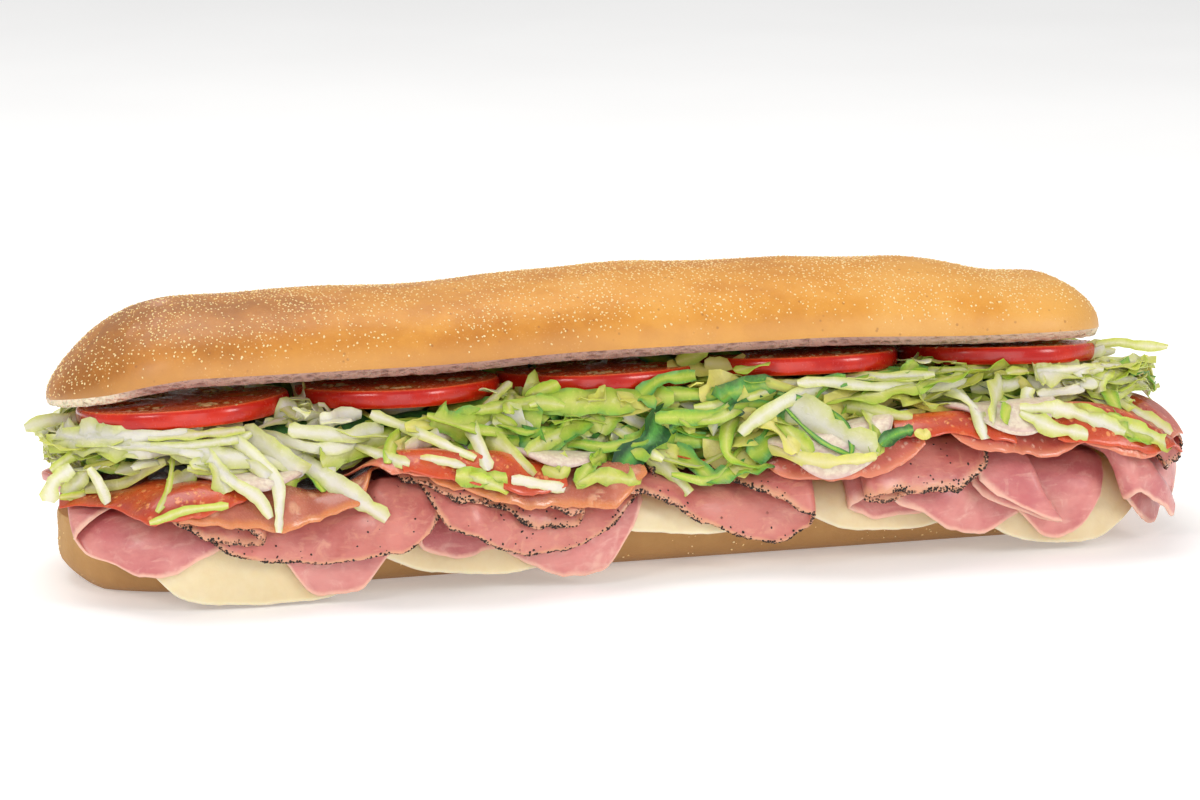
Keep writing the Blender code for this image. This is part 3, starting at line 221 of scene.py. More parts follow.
# ribbons lying on the front of the heap and over the slices: width, greenness,
# yellowness and the x and z that the middle line goes through
RIBBONS = [
    (3.2, 0.16, 0, [(-117.6, 48.3), (-122.9, 45.7), (-127.3, 41.7)]),
    (3.4, 0.45, 0, [(-127.7, 45.9), (-134.3, 44), (-139.7, 36.5)]),
    (4.2, 0.05, 0, [(-157.8, 41.9), (-150.3, 43.7), (-141.8, 43.8)]),
    (4, 0.3, 0, [(-155.8, 35.3), (-149.2, 39.5), (-142, 42.3)]),
    (4, 0.08, 0, [(-120.7, 45.9), (-114.3, 37), (-107.1, 31.9), (-104.2, 26.7)]),
    (3.8, 0.05, 0, [(-114.2, 47.5), (-105.7, 41.7), (-101.1, 34.8), (-102.3, 23)]),
    (2.2, 0.35, 0, [(-126.1, 41.3), (-129.5, 34.7), (-134.1, 29.7)]),
    (2.6, 0.34, 0, [(-115.3, 30.7), (-125.2, 30.3), (-136.3, 27.1)]),
    (3.2, 0.18, 0, [(-105.7, 50.2), (-99.1, 48.8), (-91.8, 46.1)]),
    (8.5, 0.1, 0, [(-107.6, 46.5), (-101, 42.1), (-92.5, 34.9)]),
    (6.5, 0.22, 0, [(-123.2, 42.6), (-116.7, 40.2), (-114.8, 33.5)]),
    (4.2, 0.45, 0, [(-146.1, 38.5), (-141.6, 36.5), (-137, 35.9)]),
    (4.6, 0.26, 0, [(-143.2, 46.3), (-136.6, 47.2), (-128.1, 47.3)]),
    (3.6, 0.22, 0, [(-137.1, 34.3), (-131.1, 41.2), (-125.1, 44.7)]),
    (3.4, 0.06, 0, [(-147.3, 37.5), (-145.1, 33.7), (-143.6, 29)]),
    (5.5, 0.1, 0, [(-157.6, 28), (-156.2, 33.1), (-150.9, 36.7)]),
    (5, 0.16, 0, [(-153.2, 29.2), (-149.9, 32.3), (-146.6, 36)]),
    (3.6, 0.05, 0, [(-112.1, 37.9), (-106.8, 38.9), (-100.9, 33.9)]),
    (3, 0.12, 0, [(-113.5, 46.2), (-108.2, 47.9), (-101.5, 49.5)]),
    (5, 0.24, 0, [(-128.4, 34.2), (-121.8, 36.4), (-119, 41.5)]),
    (3.4, 0.3, 0, [(-154.5, 29.3), (-148, 29.5), (-141.5, 31.1)]),
    (3.2, 0.14, 0, [(-128.3, 50.2), (-119.1, 50.3), (-111.2, 50.8)]),
    (6.4, 0.1, 0, [(-98.3, 44.5), (-93, 39.5), (-86.4, 34.5), (-78.5, 28.7), (-72.8, 24.3)]),
    (5.2, 0.04, 0, [(-84.2, 54.4), (-84.9, 48.8), (-86.3, 41.6)]),
    (3.6, 0.14, 0, [(-71.7, 49.1), (-60.3, 44.4), (-47.5, 38.9)]),
    (3.2, 0.1, 0, [(-62.7, 40.1), (-56.6, 39), (-50.9, 37.3)]),
    (3.6, 0.18, 0, [(-91.6, 39.5), (-84.9, 41.1), (-77.5, 46.9)]),
    (2.6, 0.42, 0.3, [(-76.3, 52.1), (-74.3, 49.3), (-70.3, 47.1)]),
    (3.4, 0.12, 0, [(-71.3, 50.9), (-61.9, 47), (-53.1, 48.5)]),
    (4, 0.08, 0, [(-52.5, 46.4), (-44.3, 48.6), (-37.8, 51.9)]),
    (4.4, 0.08, 0, [(-45.1, 46.4), (-44.8, 41.4), (-44.5, 36.1)]),
    (3.4, 0.03, 0, [(-73.5, 40.7), (-79.5, 39.8), (-86.3, 33.9)]),
    (3.6, 0.16, 0, [(-77.4, 41.7), (-71.4, 40), (-66, 39)]),
    (5, 0.28, 0, [(-40.7, 42.5), (-36, 38.2), (-31.5, 33.6)]),
    (5, 0.36, 0, [(-50.7, 35.3), (-46, 33.6), (-40.5, 30.9)]),
    (5.4, 0.44, 0, [(-54.2, 35.7), (-47.4, 34.6), (-40, 34.2)]),
    (3.6, 0.03, 0, [(-38.9, 33.6), (-31.4, 31.8), (-22.9, 29.3)]),
    (3.4, 0.06, 0, [(-31.5, 47.4), (-28.1, 45.5), (-25.4, 42.4)]),
    (5, 0.34, 0, [(-32.2, 38.8), (-24.6, 40.4), (-16.4, 41.2)]),
    (5.6, 0.4, 0, [(-39.4, 52.7), (-38.1, 47.3), (-29.9, 50.8)]),
    (4, 0.4, 0, [(-41.4, 45.9), (-37.3, 46.3), (-31.9, 43.3)]),
    (6.5, 0.76, 0, [(-21.7, 45.3), (-16.2, 48), (-11.7, 51.1)]),
    (5, 0.56, 0, [(-28.6, 53.2), (-26.2, 48.4), (-22.8, 44.8)]),
    (4.2, 0.44, 0, [(-71.5, 38.9), (-68.2, 42.7), (-64.1, 43.8)]),
    (5, 0.26, 0, [(-65.2, 43.6), (-57.1, 45.8), (-47.6, 43.9)]),
    (3.6, 0.12, 0, [(-57.3, 47.3), (-51.3, 43.6), (-46.6, 40.7)]),
    (5, 0.46, 0, [(-19.2, 29.9), (-14.4, 34.3), (-9.5, 36.1)]),
    (4.6, 0.4, 0.3, [(-28.1, 35.2), (-24, 32.9), (-21.9, 37.5)]),
    (4.4, 0.2, 0, [(-97.2, 51.2), (-91.9, 49.2), (-85.9, 47.6)]),
    (4.4, 0.12, 0, [(-93.6, 43.6), (-89.6, 42), (-84.9, 39.7)]),
    (4.4, 0.6, 0, [(20, 54), (12.1, 53.9), (4.9, 50.5), (2.3, 44.9)]),
    (4.2, 0.62, 0, [(15.1, 53.9), (25.7, 50.7), (33, 46.1), (42.3, 44.6)]),
    (6.4, 0.68, 0, [(32.6, 58.4), (39.9, 52.9), (46.6, 45.4)]),
    (11, 0.1, 0, [(45.6, 44.8), (53, 40.4), (63.1, 34)]),
    (1.9, 0.72, 0, [(43.9, 48), (53.2, 45.5), (58.6, 40.1), (57.3, 34.3), (50.6, 37.3),
                    (43.9, 45.4)]),
    (8.5, 0.05, 0, [(13.8, 49.2), (20.4, 45.6), (25.7, 42.1), (24.4, 37.7)]),
    (7, 0.5, 0, [(-7.8, 40.3), (-4.6, 45.2), (0.7, 47.5)]),
    (4.2, 0.08, 0, [(-2.3, 45.3), (1.7, 43.1), (6.3, 40.6)]),
    (6, 0.58, 0, [(-2.6, 40), (8.6, 37.1), (22.4, 36.5)]),
    (5.6, 0.2, 0, [(-4.8, 40.1), (6.3, 33.7), (14.9, 23.8)]),
    (6.2, 0.4, 0.6, [(4, 36.8), (9.9, 34.5), (15.8, 31.3)]),
    (6, 0.22, 0.85, [(22.4, 37.8), (26.7, 30.8), (30.7, 36.6), (35.9, 42.1), (31.3, 44.6)]),
    (6, 0.25, 0.8, [(36.9, 43.7), (40.3, 39.7), (43, 35)]),
    (5, 0.22, 0.6, [(37.3, 35.9), (50, 32.5), (64.1, 33.3)]),
    (4.2, 0.2, 0.85, [(26.6, 54.9), (33.3, 54.5), (38.2, 56.8)]),
    (5.2, 0.42, 0.7, [(15.7, 54.7), (23, 53.7), (30.3, 53.2)]),
    (4.2, 0.48, 0.3, [(18.4, 56), (23.3, 57), (27.3, 59.3)]),
    (4.4, 0.1, 0, [(44.6, 50), (53.3, 48.5), (60, 46.5), (64.4, 49.8)]),
    (4.4, 0.36, 0, [(56.7, 42.9), (64.7, 44), (72.4, 44.9)]),
    (3.2, 0.5, 0, [(64.8, 34.9), (65.7, 39.4), (67.3, 43.2)]),
    (6.4, 0.55, 0, [(-19.6, 46.4), (-15.7, 48.7), (-11.4, 51.3)]),
    (5, 0.46, 0, [(-18.9, 41), (-16.9, 44.7), (-16.3, 47.9)]),
    (5.6, 0.48, 0, [(-11.4, 48), (-9.5, 44.7), (-8.2, 40.8)]),
    (4.4, 0.48, 0, [(-4.9, 49.1), (-1, 50.2), (3.6, 52.1)]),
    (5, 0.32, 0, [(-20.2, 39.2), (-12.4, 39.3), (-3.2, 36.5)]),
    (5.4, 0.4, 0.2, [(-19.8, 30.3), (-13.3, 31.7), (-2.9, 30.1), (1.4, 34.6)]),
    (5.6, 0.5, 0, [(-14.3, 35.4), (-7.8, 35.6), (-1.2, 35.2)]),
    (4.6, 0.4, 0.3, [(5.6, 46.3), (10.2, 46.7), (15.4, 47)]),
    (3.4, 0.76, 0, [(10.9, 39.4), (13.5, 40.5), (16.4, 42.9)]),
    (5.4, 0.2, 0, [(21.7, 47.7), (25.7, 47.5), (30.3, 47.9)]),
    (6, 0.86, 0, [(28.7, 43.9), (31.3, 45), (35.3, 46.1)]),
    (5.4, 0.44, 0, [(41.3, 42.6), (44, 38.6), (46.7, 34.6)]),
    (5, 0.3, 0.5, [(8.2, 43.6), (12.8, 42.7), (19.4, 40.4)]),
    (5, 0.52, 0, [(-5.2, 38.3), (-0.6, 39.3), (2.7, 39.7)]),
    (3.6, 0.2, 0, [(143, 53.7), (150, 54), (157.1, 52.6), (165.2, 51.8)]),
    (7, 0.1, 0, [(127, 49.6), (135.3, 50.5), (145.7, 53.2)]),
    (8.5, 0.13, 0, [(117.1, 47), (124.7, 45.3), (134.9, 42.1)]),
    (5.4, 0.18, 0, [(107.9, 42.6), (116.9, 38.1), (126.6, 35.9)]),
    (4.6, 0.14, 0, [(108.2, 43.4), (118.5, 42.8), (128.9, 39.5), (138, 35.7)]),
    (5.4, 0.3, 0, [(124.1, 42), (136, 38.1), (146.5, 33.5), (154.3, 29)]),
    (5.2, 0.5, 0, [(141.5, 45.2), (138.2, 37.5), (146.7, 33)]),
    (4.8, 0.1, 0, [(90.5, 49.6), (95.3, 45.4), (96.5, 36.2)]),
    (3.4, 0.3, 0.8, [(107.9, 49.3), (112.7, 48.4), (118.3, 44.5)]),
    (7, 0.18, 0, [(99, 40.5), (103, 45.5), (109.8, 49)]),
    (5.2, 0.5, 0, [(102, 40.7), (104.4, 43.2), (107.8, 44.3)]),
    (3.4, 0.25, 0.85, [(89.1, 50.1), (90.7, 52.3), (93.5, 50.2)]),
    (4.4, 0.32, 0, [(60.3, 44.2), (68.4, 43.4), (77.9, 41.8)]),
    (4.4, 0.28, 0.5, [(67, 50.2), (72.4, 48.6), (77.9, 45)]),
    (4.4, 0.52, 0, [(78.5, 48.2), (81.9, 51.3), (84.5, 54.3)]),
    (3, 0.35, 0.8, [(77, 39.3), (79.1, 38.2), (80.7, 39.1)]),
    (5.4, 0.28, 0, [(63.4, 34.2), (65.4, 39.2), (67.7, 43.9)]),
    (4.4, 0.84, 0, [(65.7, 36.6), (70.8, 38.9), (76.5, 39.5)]),
    (4.2, 0.18, 0, [(85.4, 43.9), (92.1, 47.4), (98.9, 49.6)]),
    (6.4, 0.1, 0, [(127.6, 46), (135.9, 46.9), (144.3, 45.1)]),
    (5, 0.14, 0, [(140.2, 48.9), (145.2, 44.6), (149.8, 39.7)]),
    (4.6, 0.2, 0, [(139.2, 43.2), (144.9, 39.6), (152, 35.2), (157, 31.6)]),
    (5, 0.44, 0, [(134, 40.4), (139.7, 34.8), (144.6, 33.2)]),
    (3.4, 0.05, 0, [(136.2, 52.3), (142.5, 51.3), (149.1, 51.5)]),
    (4, 0.22, 0.5, [(121.6, 48.5), (125, 51), (127.1, 52.2)]),
    (4.4, 0.12, 0, [(100, 46.1), (107.5, 46.3), (115.8, 47.1)]),
]

# the working lattice: lines along the bun, stations from the back to the rim
XS = np.arange(-190.0, 211.0, STEP)
YS = np.array([50.0, 36.0, 19.0, 0.0, -19.0, -36.0, -41.1, -46.2, -54.0, -66.0])
# share of the full thickness and of the full fold opening at each station
PRESSED = np.array([0.7, 0.6, 0.6, 0.6, 0.65, 0.8, 1.0, 1.0, 1.0, 1.0])
OPENED = np.array([0.04, 0.05, 0.06, 0.08, 0.2, 0.45, 1.0, 1.0, 1.0, 1.0])
BACK, MIDDLE, FRONT = 1, 3, 5
floor = np.zeros((len(XS), len(YS)))


def unit(vectors):
    """The same directions, one long."""
    return vectors / np.maximum(np.linalg.norm(vectors, axis=-1, keepdims=True), TINY)


def softened(values):
    """Each value between the ends drawn towards its two neighbours."""
    soft = values.copy()
    soft[1:-1] = (values[:-2] + 2 * values[1:-1] + values[2:]) / 4
    return soft


def joined(bodies):
    """Points and faces of several bodies in one list each."""
    points, faces = [], []
    for some, sides in bodies:
        start = len(points)
        points += some
        faces += [tuple(start + i for i in side) for side in sides]
    return points, faces


def bend(d, height, strength):
    """Radial and vertical place of a point d beyond the bun's side."""
    s = np.clip(d / BEND, 0.0, 1.0)
    a0 = HANG * strength
    radius = BEND / a0
    past = np.maximum(d - BEND, 0.0)
    out = radius * np.sin(a0 * s) + past * np.cos(a0)
    down = -radius * (1.0 - np.cos(a0 * s)) - past * np.sin(a0)
    steps = 24
    part = height / steps
    for i in range(steps):
        a = np.interp((i + 0.5) * part, ANGLE_H, ANGLE_A) * strength * s
        out = out + np.sin(a) * part
        down = down + np.cos(a) * part
    return out, down


def world(x, y, height):
    """Place of a working-space point over the table, in millimetres."""
    x = np.asarray(x, float)
    y = np.asarray(y, float)
    height = np.asarray(height, float)
    cx = np.clip(x, SEG_LEFT, SEG_RIGHT)
    vx = x - cx
    rho = np.maximum(np.hypot(vx, y), 1e-6)
    d = np.maximum(rho - HALF, 0.0)
    side = 0.5 - 0.5 * y / rho
    strength = 0.58 + 0.42 * np.clip(side * 1.4, 0.0, 1.0)
    out, down = bend(d, height, strength)
    reach = np.minimum(rho, HALF) + np.where(d > 0, out, 0.0)
    z = CUT_Z + np.where(d > 0, down, height)
    return np.stack([cx + vx / rho * reach, y / rho * reach, z], axis=-1)


def resting(surface):
    """The surface a slice takes over what lies below it: its slopes are limited."""
    s = surface.copy()
    for k in range(FRONT + 1, len(YS)):
        s[:, k] = np.maximum(s[:, k], s[:, k - 1] - FALL * (YS[k - 1] - YS[k]))
    for k in range(BACK - 1, -1, -1):
        s[:, k] = np.maximum(s[:, k], s[:, k + 1] - FALL * (YS[k] - YS[k + 1]))
    for i in range(1, len(XS)):
        s[i] = np.maximum(s[i], s[i - 1] - SLOPE * STEP)
    for i in range(len(XS) - 2, -1, -1):
        s[i] = np.maximum(s[i], s[i + 1] - SLOPE * STEP)
    return np.maximum(s, softened(s))


def near_line(x):
    """Offsets at which the floor is read for a column between two lines."""
    off = XS - x
    close = off[abs(off) < 1.6]
    return (0.0, float(close[0])) if len(close) else (0.0,)


def lay(thick, slack, legs, back_drop):
    """Columns of one slice: x and height at each station and its two rims."""
    stations = np.arange(len(YS))
    hang = np.maximum(-YS - HALF, 0.0)
    cols_x, cols_h, rims = [], [], []
    prev_end = None
    for number, (xs, xe, drift_s, drift_e, stand, rim) in enumerate(legs):
        rim = sorted(rim)
        rim_x = [p[0] for p in rim]
        rim_z = [p[1] for p in rim]
        under = resting(floor)
        way = 1.0 if xe > xs else -1.0
        start = xs + drift_s * hang
        end = xe + drift_e * hang
        half = thick / 2 * PRESSED
        air = GAP + half + slack * 0.6 * np.clip(hang / 8.0, 0, 1)
        lift = stand * OPENED

        drifts = max(np.ptp(start), np.ptp(end)) > 6.0
        reach = (-6.0, -4.0, -2.0, 0.0, 2.0, 4.0, 6.0)

        def height(xk, k):
            on_line = not drifts and np.min(abs(XS - xk)) < 0.01
            off = lift[k] * np.clip(1 - abs(xk - start[k]) / 30.0, 0, 1) ** 1.3
            places = (0.0,) if on_line else near_line(xk)
            if drifts:
                places = reach
            below = max(np.interp(xk + s, XS, under[:, k]) for s in places)
            far = 0.5 * np.clip((abs(xk) - 118.0) / 14.0, 0, 1)
            far += 0.05 * max(0.0, abs(xk) - 145.0)
            return below + air[k] + off + far

        if prev_end is not None:
            # round the turn from the leg before this one
            x0, h0, z0, way0 = prev_end
            h1 = levelled(x0, np.array([height(x0[k], k) for k in stations]))
            rise = h1 - h0
            z1 = float(np.interp(x0[FRONT + 1], rim_x, rim_z))
            nose = np.minimum(rise / 2, nose_room)
            for a in ((-42, 42) if stand > 1 else (0,)):
                ra = math.radians(a)
                cols_x.append(x0 + way0 * nose * math.cos(ra))
                cols_h.append(h0 + rise / 2 * (1 + math.sin(ra)))
                f = 0.5 + 0.5 * math.sin(ra)
                rims.append(z0 * (1 - f) + z1 * f)
            start = x0
        follows = number + 1 < len(legs)
        if follows:
            # the turn's nose stays within the slice's own end
            nose_room = np.minimum((thick + GAP + legs[number + 1][4] * OPENED) / 2, 5.0)
            end = end - way * nose_room
        lo = np.minimum(start, end).max()
        hi = np.maximum(start, end).min()
        inner = [np.full(len(YS), x) for x in XS if lo + 1.5 < x < hi - 1.5]
        if way < 0:
            inner = inner[::-1]
        if drifts:
            count = max(3, round(abs(xe - xs) / 7.0))
            inner = [start + (end - start) * i / count for i in range(1, count)]
        leg_cols = [start] + inner + [end]
        first = len(cols_x)
        for xk in leg_cols:
            cols_x.append(np.array(xk, float))
            cols_h.append(levelled(xk, np.array([height(xk[k], k) for k in stations])))
            rims.append(float(np.interp(xk[FRONT + 1], rim_x, rim_z)))
        prev_end = (end, cols_h[-1], rims[-1], way)
        # what lies above this leg has to clear it
        turn = first
        if number:
            turn = first - (2 if stand > 1 else 1)
        px = np.array(cols_x[turn:])
        ph = np.array(cols_h[turn:]) + thick / 2 * PRESSED
        ph[:first - turn] = ph[first - turn]
        front, behind = limits(cols_x[turn:], cols_h[turn:], rims[turn:], back_drop)
        cover(px, ph + (0.7 if drifts else 0.0), front, behind)
    return np.array(cols_x), np.array(cols_h), rims


def cover(px, tops, fronts, backs):
    """Raise the floor under everything that is laid later."""
    n = len(px)
    for c in range(n):
        near_by = slice(max(0, c - 1), min(n, c + 2))
        far = math.ceil(max(fronts[near_by]) - 1e-6)
        near = math.floor(min(backs[near_by]) + 1e-6)
        for k in range(near, min(far, len(YS) - 1) + 1):
            at = (px[c][k] - XS[0]) / STEP
            i = int(math.floor(at + 1e-3))
            lines = (i,) if abs(at - round(at)) < 1e-3 else (i, i + 1)
            for line in lines:
                floor[line, k] = max(floor[line, k], tops[c][k])


def limits(cols_x, cols_h, rims, back_drop):
    """Fractional station of the front and the back rim of each column."""
    fronts, backs = [], []
    mids = [c[MIDDLE] for c in cols_x]
    lo, hi = min(mids), max(mids)
    for x, h, rim in zip(cols_x, cols_h, rims):
        z = world(x, YS, h)[:, 2]
        level = z[MIDDLE]
        kf = None
        if z[FRONT] < rim and level - z[FRONT] < 1.5:
            kf = FRONT + 0.35
        else:
            for k in range(MIDDLE, len(YS) - 1):
                if z[k] >= rim > z[k + 1]:
                    kf = k + (z[k] - rim) / (z[k] - z[k + 1])
                    break
        if kf is None:
            kf = MIDDLE + 0.3 if z[MIDDLE] < rim else len(YS) - 1.0
        u = (x[MIDDLE] - (lo + hi) / 2) / max((hi - lo) / 2, 1.0)
        target = level - 0.8 - back_drop * math.sqrt(max(0.0, 1 - u * u))
        kb = None
        for k in range(MIDDLE, 0, -1):
            if z[k] >= target > z[k - 1]:
                kb = k - (z[k] - target) / (z[k] - z[k - 1])
                break
        if kb is None:
            kb = 0.3
        fronts.append(kf)
        backs.append(min(kb, kf - 0.4))
    return np.array(fronts), np.array(backs)


def levelled(x, heights):
    """Away from the round ends a slice runs straight from side to side."""
    if abs(x[MIDDLE]) < 85.0:
        for k in range(BACK + 1, FRONT):
            f = (YS[BACK] - YS[k]) / (YS[BACK] - YS[FRONT])
            heights[k] = heights[BACK] * (1 - f) + heights[FRONT] * f
    return heights


def half_width(x, left, right, wide):
    """Half the bun's width at x: round ends of different length."""
    if x < 0:
        u = max(0.0, (-x - (BUN_END - left)) / left)
    else:
        u = max(0.0, (x - (BUN_END - right)) / right)
    u = min(u, 1.0)
    return max(wide * math.sqrt(max(0.0, 1 - u ** 2.1)), 2.2)


def tomato_underside(x, y):
    """Lowest tomato underside over a point of the table plane."""
    best = None
    near, near_z = 1e9, 0.0
    for cx, front_z, radius, lean, roll in TOMATOES:
        z = front_z - (y - (TOMATO_Y - radius)) * math.tan(math.radians(lean))
        z += (x - cx) * math.tan(math.radians(roll))
        gap = math.hypot(x - cx, y - TOMATO_Y) - radius
        if gap < 5.0:
            best = z if best is None else min(best, z)
        if gap < near:
            near, near_z = gap, z
    return near_z if best is None else best


def floor_at(x, y):
    """Height of the laid slices over the cut, between the lattice points."""
    col = [np.interp(x, XS, floor[:, k]) for k in range(len(YS))]
    return float(np.interp(-y, -YS, col))


class Amount:
    """A number that varies over a surface and takes part in arithmetic."""

    def __init__(self, finish, socket):
        self.finish = finish
        self.socket = socket

    def _maths(self, operation, first, second=None):
        values = {0: first}
        if second is not None:
            values[1] = second
        node = self.finish.node("ShaderNodeMath", {"operation": operation}, values)
        return Amount(self.finish, node.outputs[0])

    def __add__(self, other):
        return self._maths("ADD", self, other)

    def __radd__(self, other):
        return self._maths("ADD", other, self)

    def __sub__(self, other):
        return self._maths("SUBTRACT", self, other)

    def __rsub__(self, other):
        return self._maths("SUBTRACT", other, self)

    def __mul__(self, other):
        return self._maths("MULTIPLY", self, other)

    def __rmul__(self, other):
        return self._maths("MULTIPLY", other, self)

    def largest(self, other):
        return self._maths("MAXIMUM", self, other)

    def between(self, low, high):
        """Rises smoothly from 0 at low to 1 at high, or falls where high is lower."""
        up = high > low
        ends = {"Value": self, "From Min": min(low, high), "From Max": max(low, high),
                "To Min": 0.0 if up else 1.0, "To Max": 1.0 if up else 0.0}
        node = self.finish.node("ShaderNodeMapRange", {"interpolation_type": "SMOOTHSTEP"}, ends)
        return Amount(self.finish, node.outputs["Result"])


class Finish:
    """One material, put together node by node."""

    def __init__(self, name, **constants):
        self.material = bpy.data.materials.new(name)
        self.material.use_nodes = True
        self.tree = self.material.node_tree
        self.shader = self.tree.nodes["Principled BSDF"]
        for socket, value in constants.items():
            self.shader.inputs[socket.replace("_", " ")].default_value = value
        coords = self.node("ShaderNodeTexCoord", {}, {})
        scaled = self.node("ShaderNodeVectorMath", {"operation": "SCALE"},
                           {0: coords.outputs["Object"], "Scale": 1000.0})
        self.place = scaled.outputs[0]

    def node(self, kind, settings, sockets):
        made = self.tree.nodes.new(kind)
        for key, value in settings.items():
            if key == "stops":
                while len(made.color_ramp.elements) < len(value):
                    made.color_ramp.elements.new(0.5)
                for element, (at, colour) in zip(made.color_ramp.elements, value):
                    element.position = at
                    element.color = (*colour, 1.0)
            else:
                setattr(made, key, value)
        for key, value in sockets.items():
            if isinstance(value, Amount):
                value = value.socket
            if isinstance(value, bpy.types.NodeSocket):
                self.tree.links.new(value, made.inputs[key])
            elif isinstance(value, tuple) and len(value) == 3 and made.inputs[key].type == "RGBA":
                made.inputs[key].default_value = (*value, 1.0)
            else:
                made.inputs[key].default_value = value
        return made

    def mottle(self, size, detail=3.0, rough=0.55, stretch=None, warp=0.0, shift=0.0):
        """Soft noise between 0 and 1 whose blotches measure about size millimetres."""
        vector = self.place
        if stretch is not None or shift:
            vector = self.node("ShaderNodeMapping", {},
                               {"Vector": vector, "Scale": stretch or (1.0, 1.0, 1.0),
                                "Location": (shift, shift * 0.7, shift * 0.3)}).outputs[0]
        made = self.node("ShaderNodeTexNoise", {"normalize": True},
                         {"Vector": vector, "Scale": 1.0 / size, "Detail": detail,
                          "Roughness": rough, "Distortion": warp})
        return Amount(self, made.outputs["Fac"])

    def cells(self, size, feature="F1", jitter=1.0, stretch=None):
        """Distance to the nearest of scattered points, size millimetres apart."""
        vector = self.place
        if stretch is not None:
            vector = self.node("ShaderNodeMapping", {},
                               {"Vector": vector, "Scale": stretch}).outputs[0]
        made = self.node("ShaderNodeTexVoronoi", {"feature": feature},
                         {"Vector": vector, "Scale": 1.0 / size, "Randomness": jitter})
        return Amount(self, made.outputs["Distance"])

    def along(self, axis):
        made = self.node("ShaderNodeSeparateXYZ", {}, {0: self.place})
        return Amount(self, made.outputs["XYZ".index(axis)])

    def stored(self, name):
        made = self.node("ShaderNodeAttribute", {"attribute_name": name}, {})
        return Amount(self, made.outputs["Fac"])

    def blend(self, amount, first, second, how="MIX"):
        made = self.node("ShaderNodeMix", {"data_type": "RGBA", "blend_type": how,
                                           "clamp_factor": True},
                         {0: amount, 6: first, 7: second})
        return made.outputs[2]

    def ramp(self, amount, *stops):
        made = self.node("ShaderNodeValToRGB", {"stops": stops}, {"Fac": amount})
        return made.outputs["Color"]

    def relief(self, height, depth):
        """Bump from a height between 0 and 1 worth depth millimetres."""
        return self.node("ShaderNodeBump", {}, {"Height": height, "Strength": 1.0,
                                                "Distance": depth * MM}).outputs[0]

    def give(self, **sockets):
        for key, value in sockets.items():
            if isinstance(value, Amount):
                value = value.socket
            self.tree.links.new(value, self.shader.inputs[key.replace("_", " ")])
        return self.material


def upper_crust():
    f = Finish("golden_crust", Coat_Roughness=0.35, Subsurface_Weight=0.04,
               Subsurface_Radius=(1.0, 0.5, 0.25), Subsurface_Scale=0.002)
    broad = f.mottle(42, 3, 0.6, stretch=(0.7, 1.3, 1.3))
    medium = f.mottle(9, 4, 0.6)
    fine = f.mottle(1.6, 4, 0.6)
    left = f.along("X").between(30, -140)
    right = f.along("X").between(20, 130)
    up = f.stored("rise")
    tip = f.along("X").between(-112, -150)
    bake = (broad.between(0.3, 0.72) * 0.5 + medium.between(0.3, 0.7) * 0.2 + left * 0.40
            + tip * 0.25 - right * 0.22)
    colour = f.ramp(bake, (0.0, (0.74, 0.37, 0.075)), (0.35, (0.67, 0.29, 0.035)),
                    (0.7, (0.52, 0.19, 0.014)), (1.0, (0.36, 0.12, 0.006)))
    edge = up.between(0.30, 0.02) * (medium * 0.6 + 0.5)
    colour = f.blend(edge * 0.42, colour, (0.66, 0.36, 0.12))
    # painted highlight: a pinkish sheen painted in patches on the upper left of the crust, where
    # the light falls
    painted_sheen = f.mottle(16, 3, 0.6, shift=31.0).between(0.5, 0.75)
    colour = f.blend(painted_sheen * left * up.between(0.45, 0.9) * 0.6, colour, (0.74, 0.38, 0.26))
    split = f.stored("split")
    colour = f.blend(split * (fine * 0.4 + 0.7), colour, (0.80, 0.52, 0.30))
    freckle = f.cells(2.6).between(0.22, 0.08) * f.mottle(6, 2).between(0.5, 0.62)
    colour = f.blend(freckle * 0.5, colour, (0.28, 0.09, 0.02))
    dust = f.cells(0.95).between(0.3, 0.1) * f.mottle(14, 3, 0.6, shift=7.0).between(0.42, 0.6)
    colour = f.blend(dust * 0.22, colour, (0.86, 0.60, 0.28))
    height = medium * 0.35 + fine * 0.3 + f.mottle(0.5, 2) * 0.12
    return f.give(Base_Color=colour, Roughness=fine * 0.18 + 0.42, Coat_Weight=left * 0.28 + 0.10,
                  Normal=f.relief(height, 0.55))


def lower_crust():
    f = Finish("tan_crust", Subsurface_Weight=0.03, Subsurface_Scale=0.002)
    broad = f.mottle(30, 3, 0.6)
    medium = f.mottle(7, 4, 0.6)
    fine = f.mottle(1.3, 4, 0.65)
    low = f.along("Z").between(12, 1)
    colour = f.ramp(broad * 0.6 + medium * 0.4, (0.25, (0.62, 0.37, 0.14)),
                    (0.5, (0.52, 0.285, 0.095)), (0.8, (0.40, 0.20, 0.06)))
    colour = f.blend(low * 0.6, colour, (0.33, 0.16, 0.05))
    cut = f.stored("crumb")
    colour = f.blend(cut, colour, (0.80, 0.62, 0.40))
    return f.give(Base_Color=colour, Roughness=fine * 0.15 + 0.62,
                  Normal=f.relief(medium * 0.4 + fine * 0.5, 0.5))


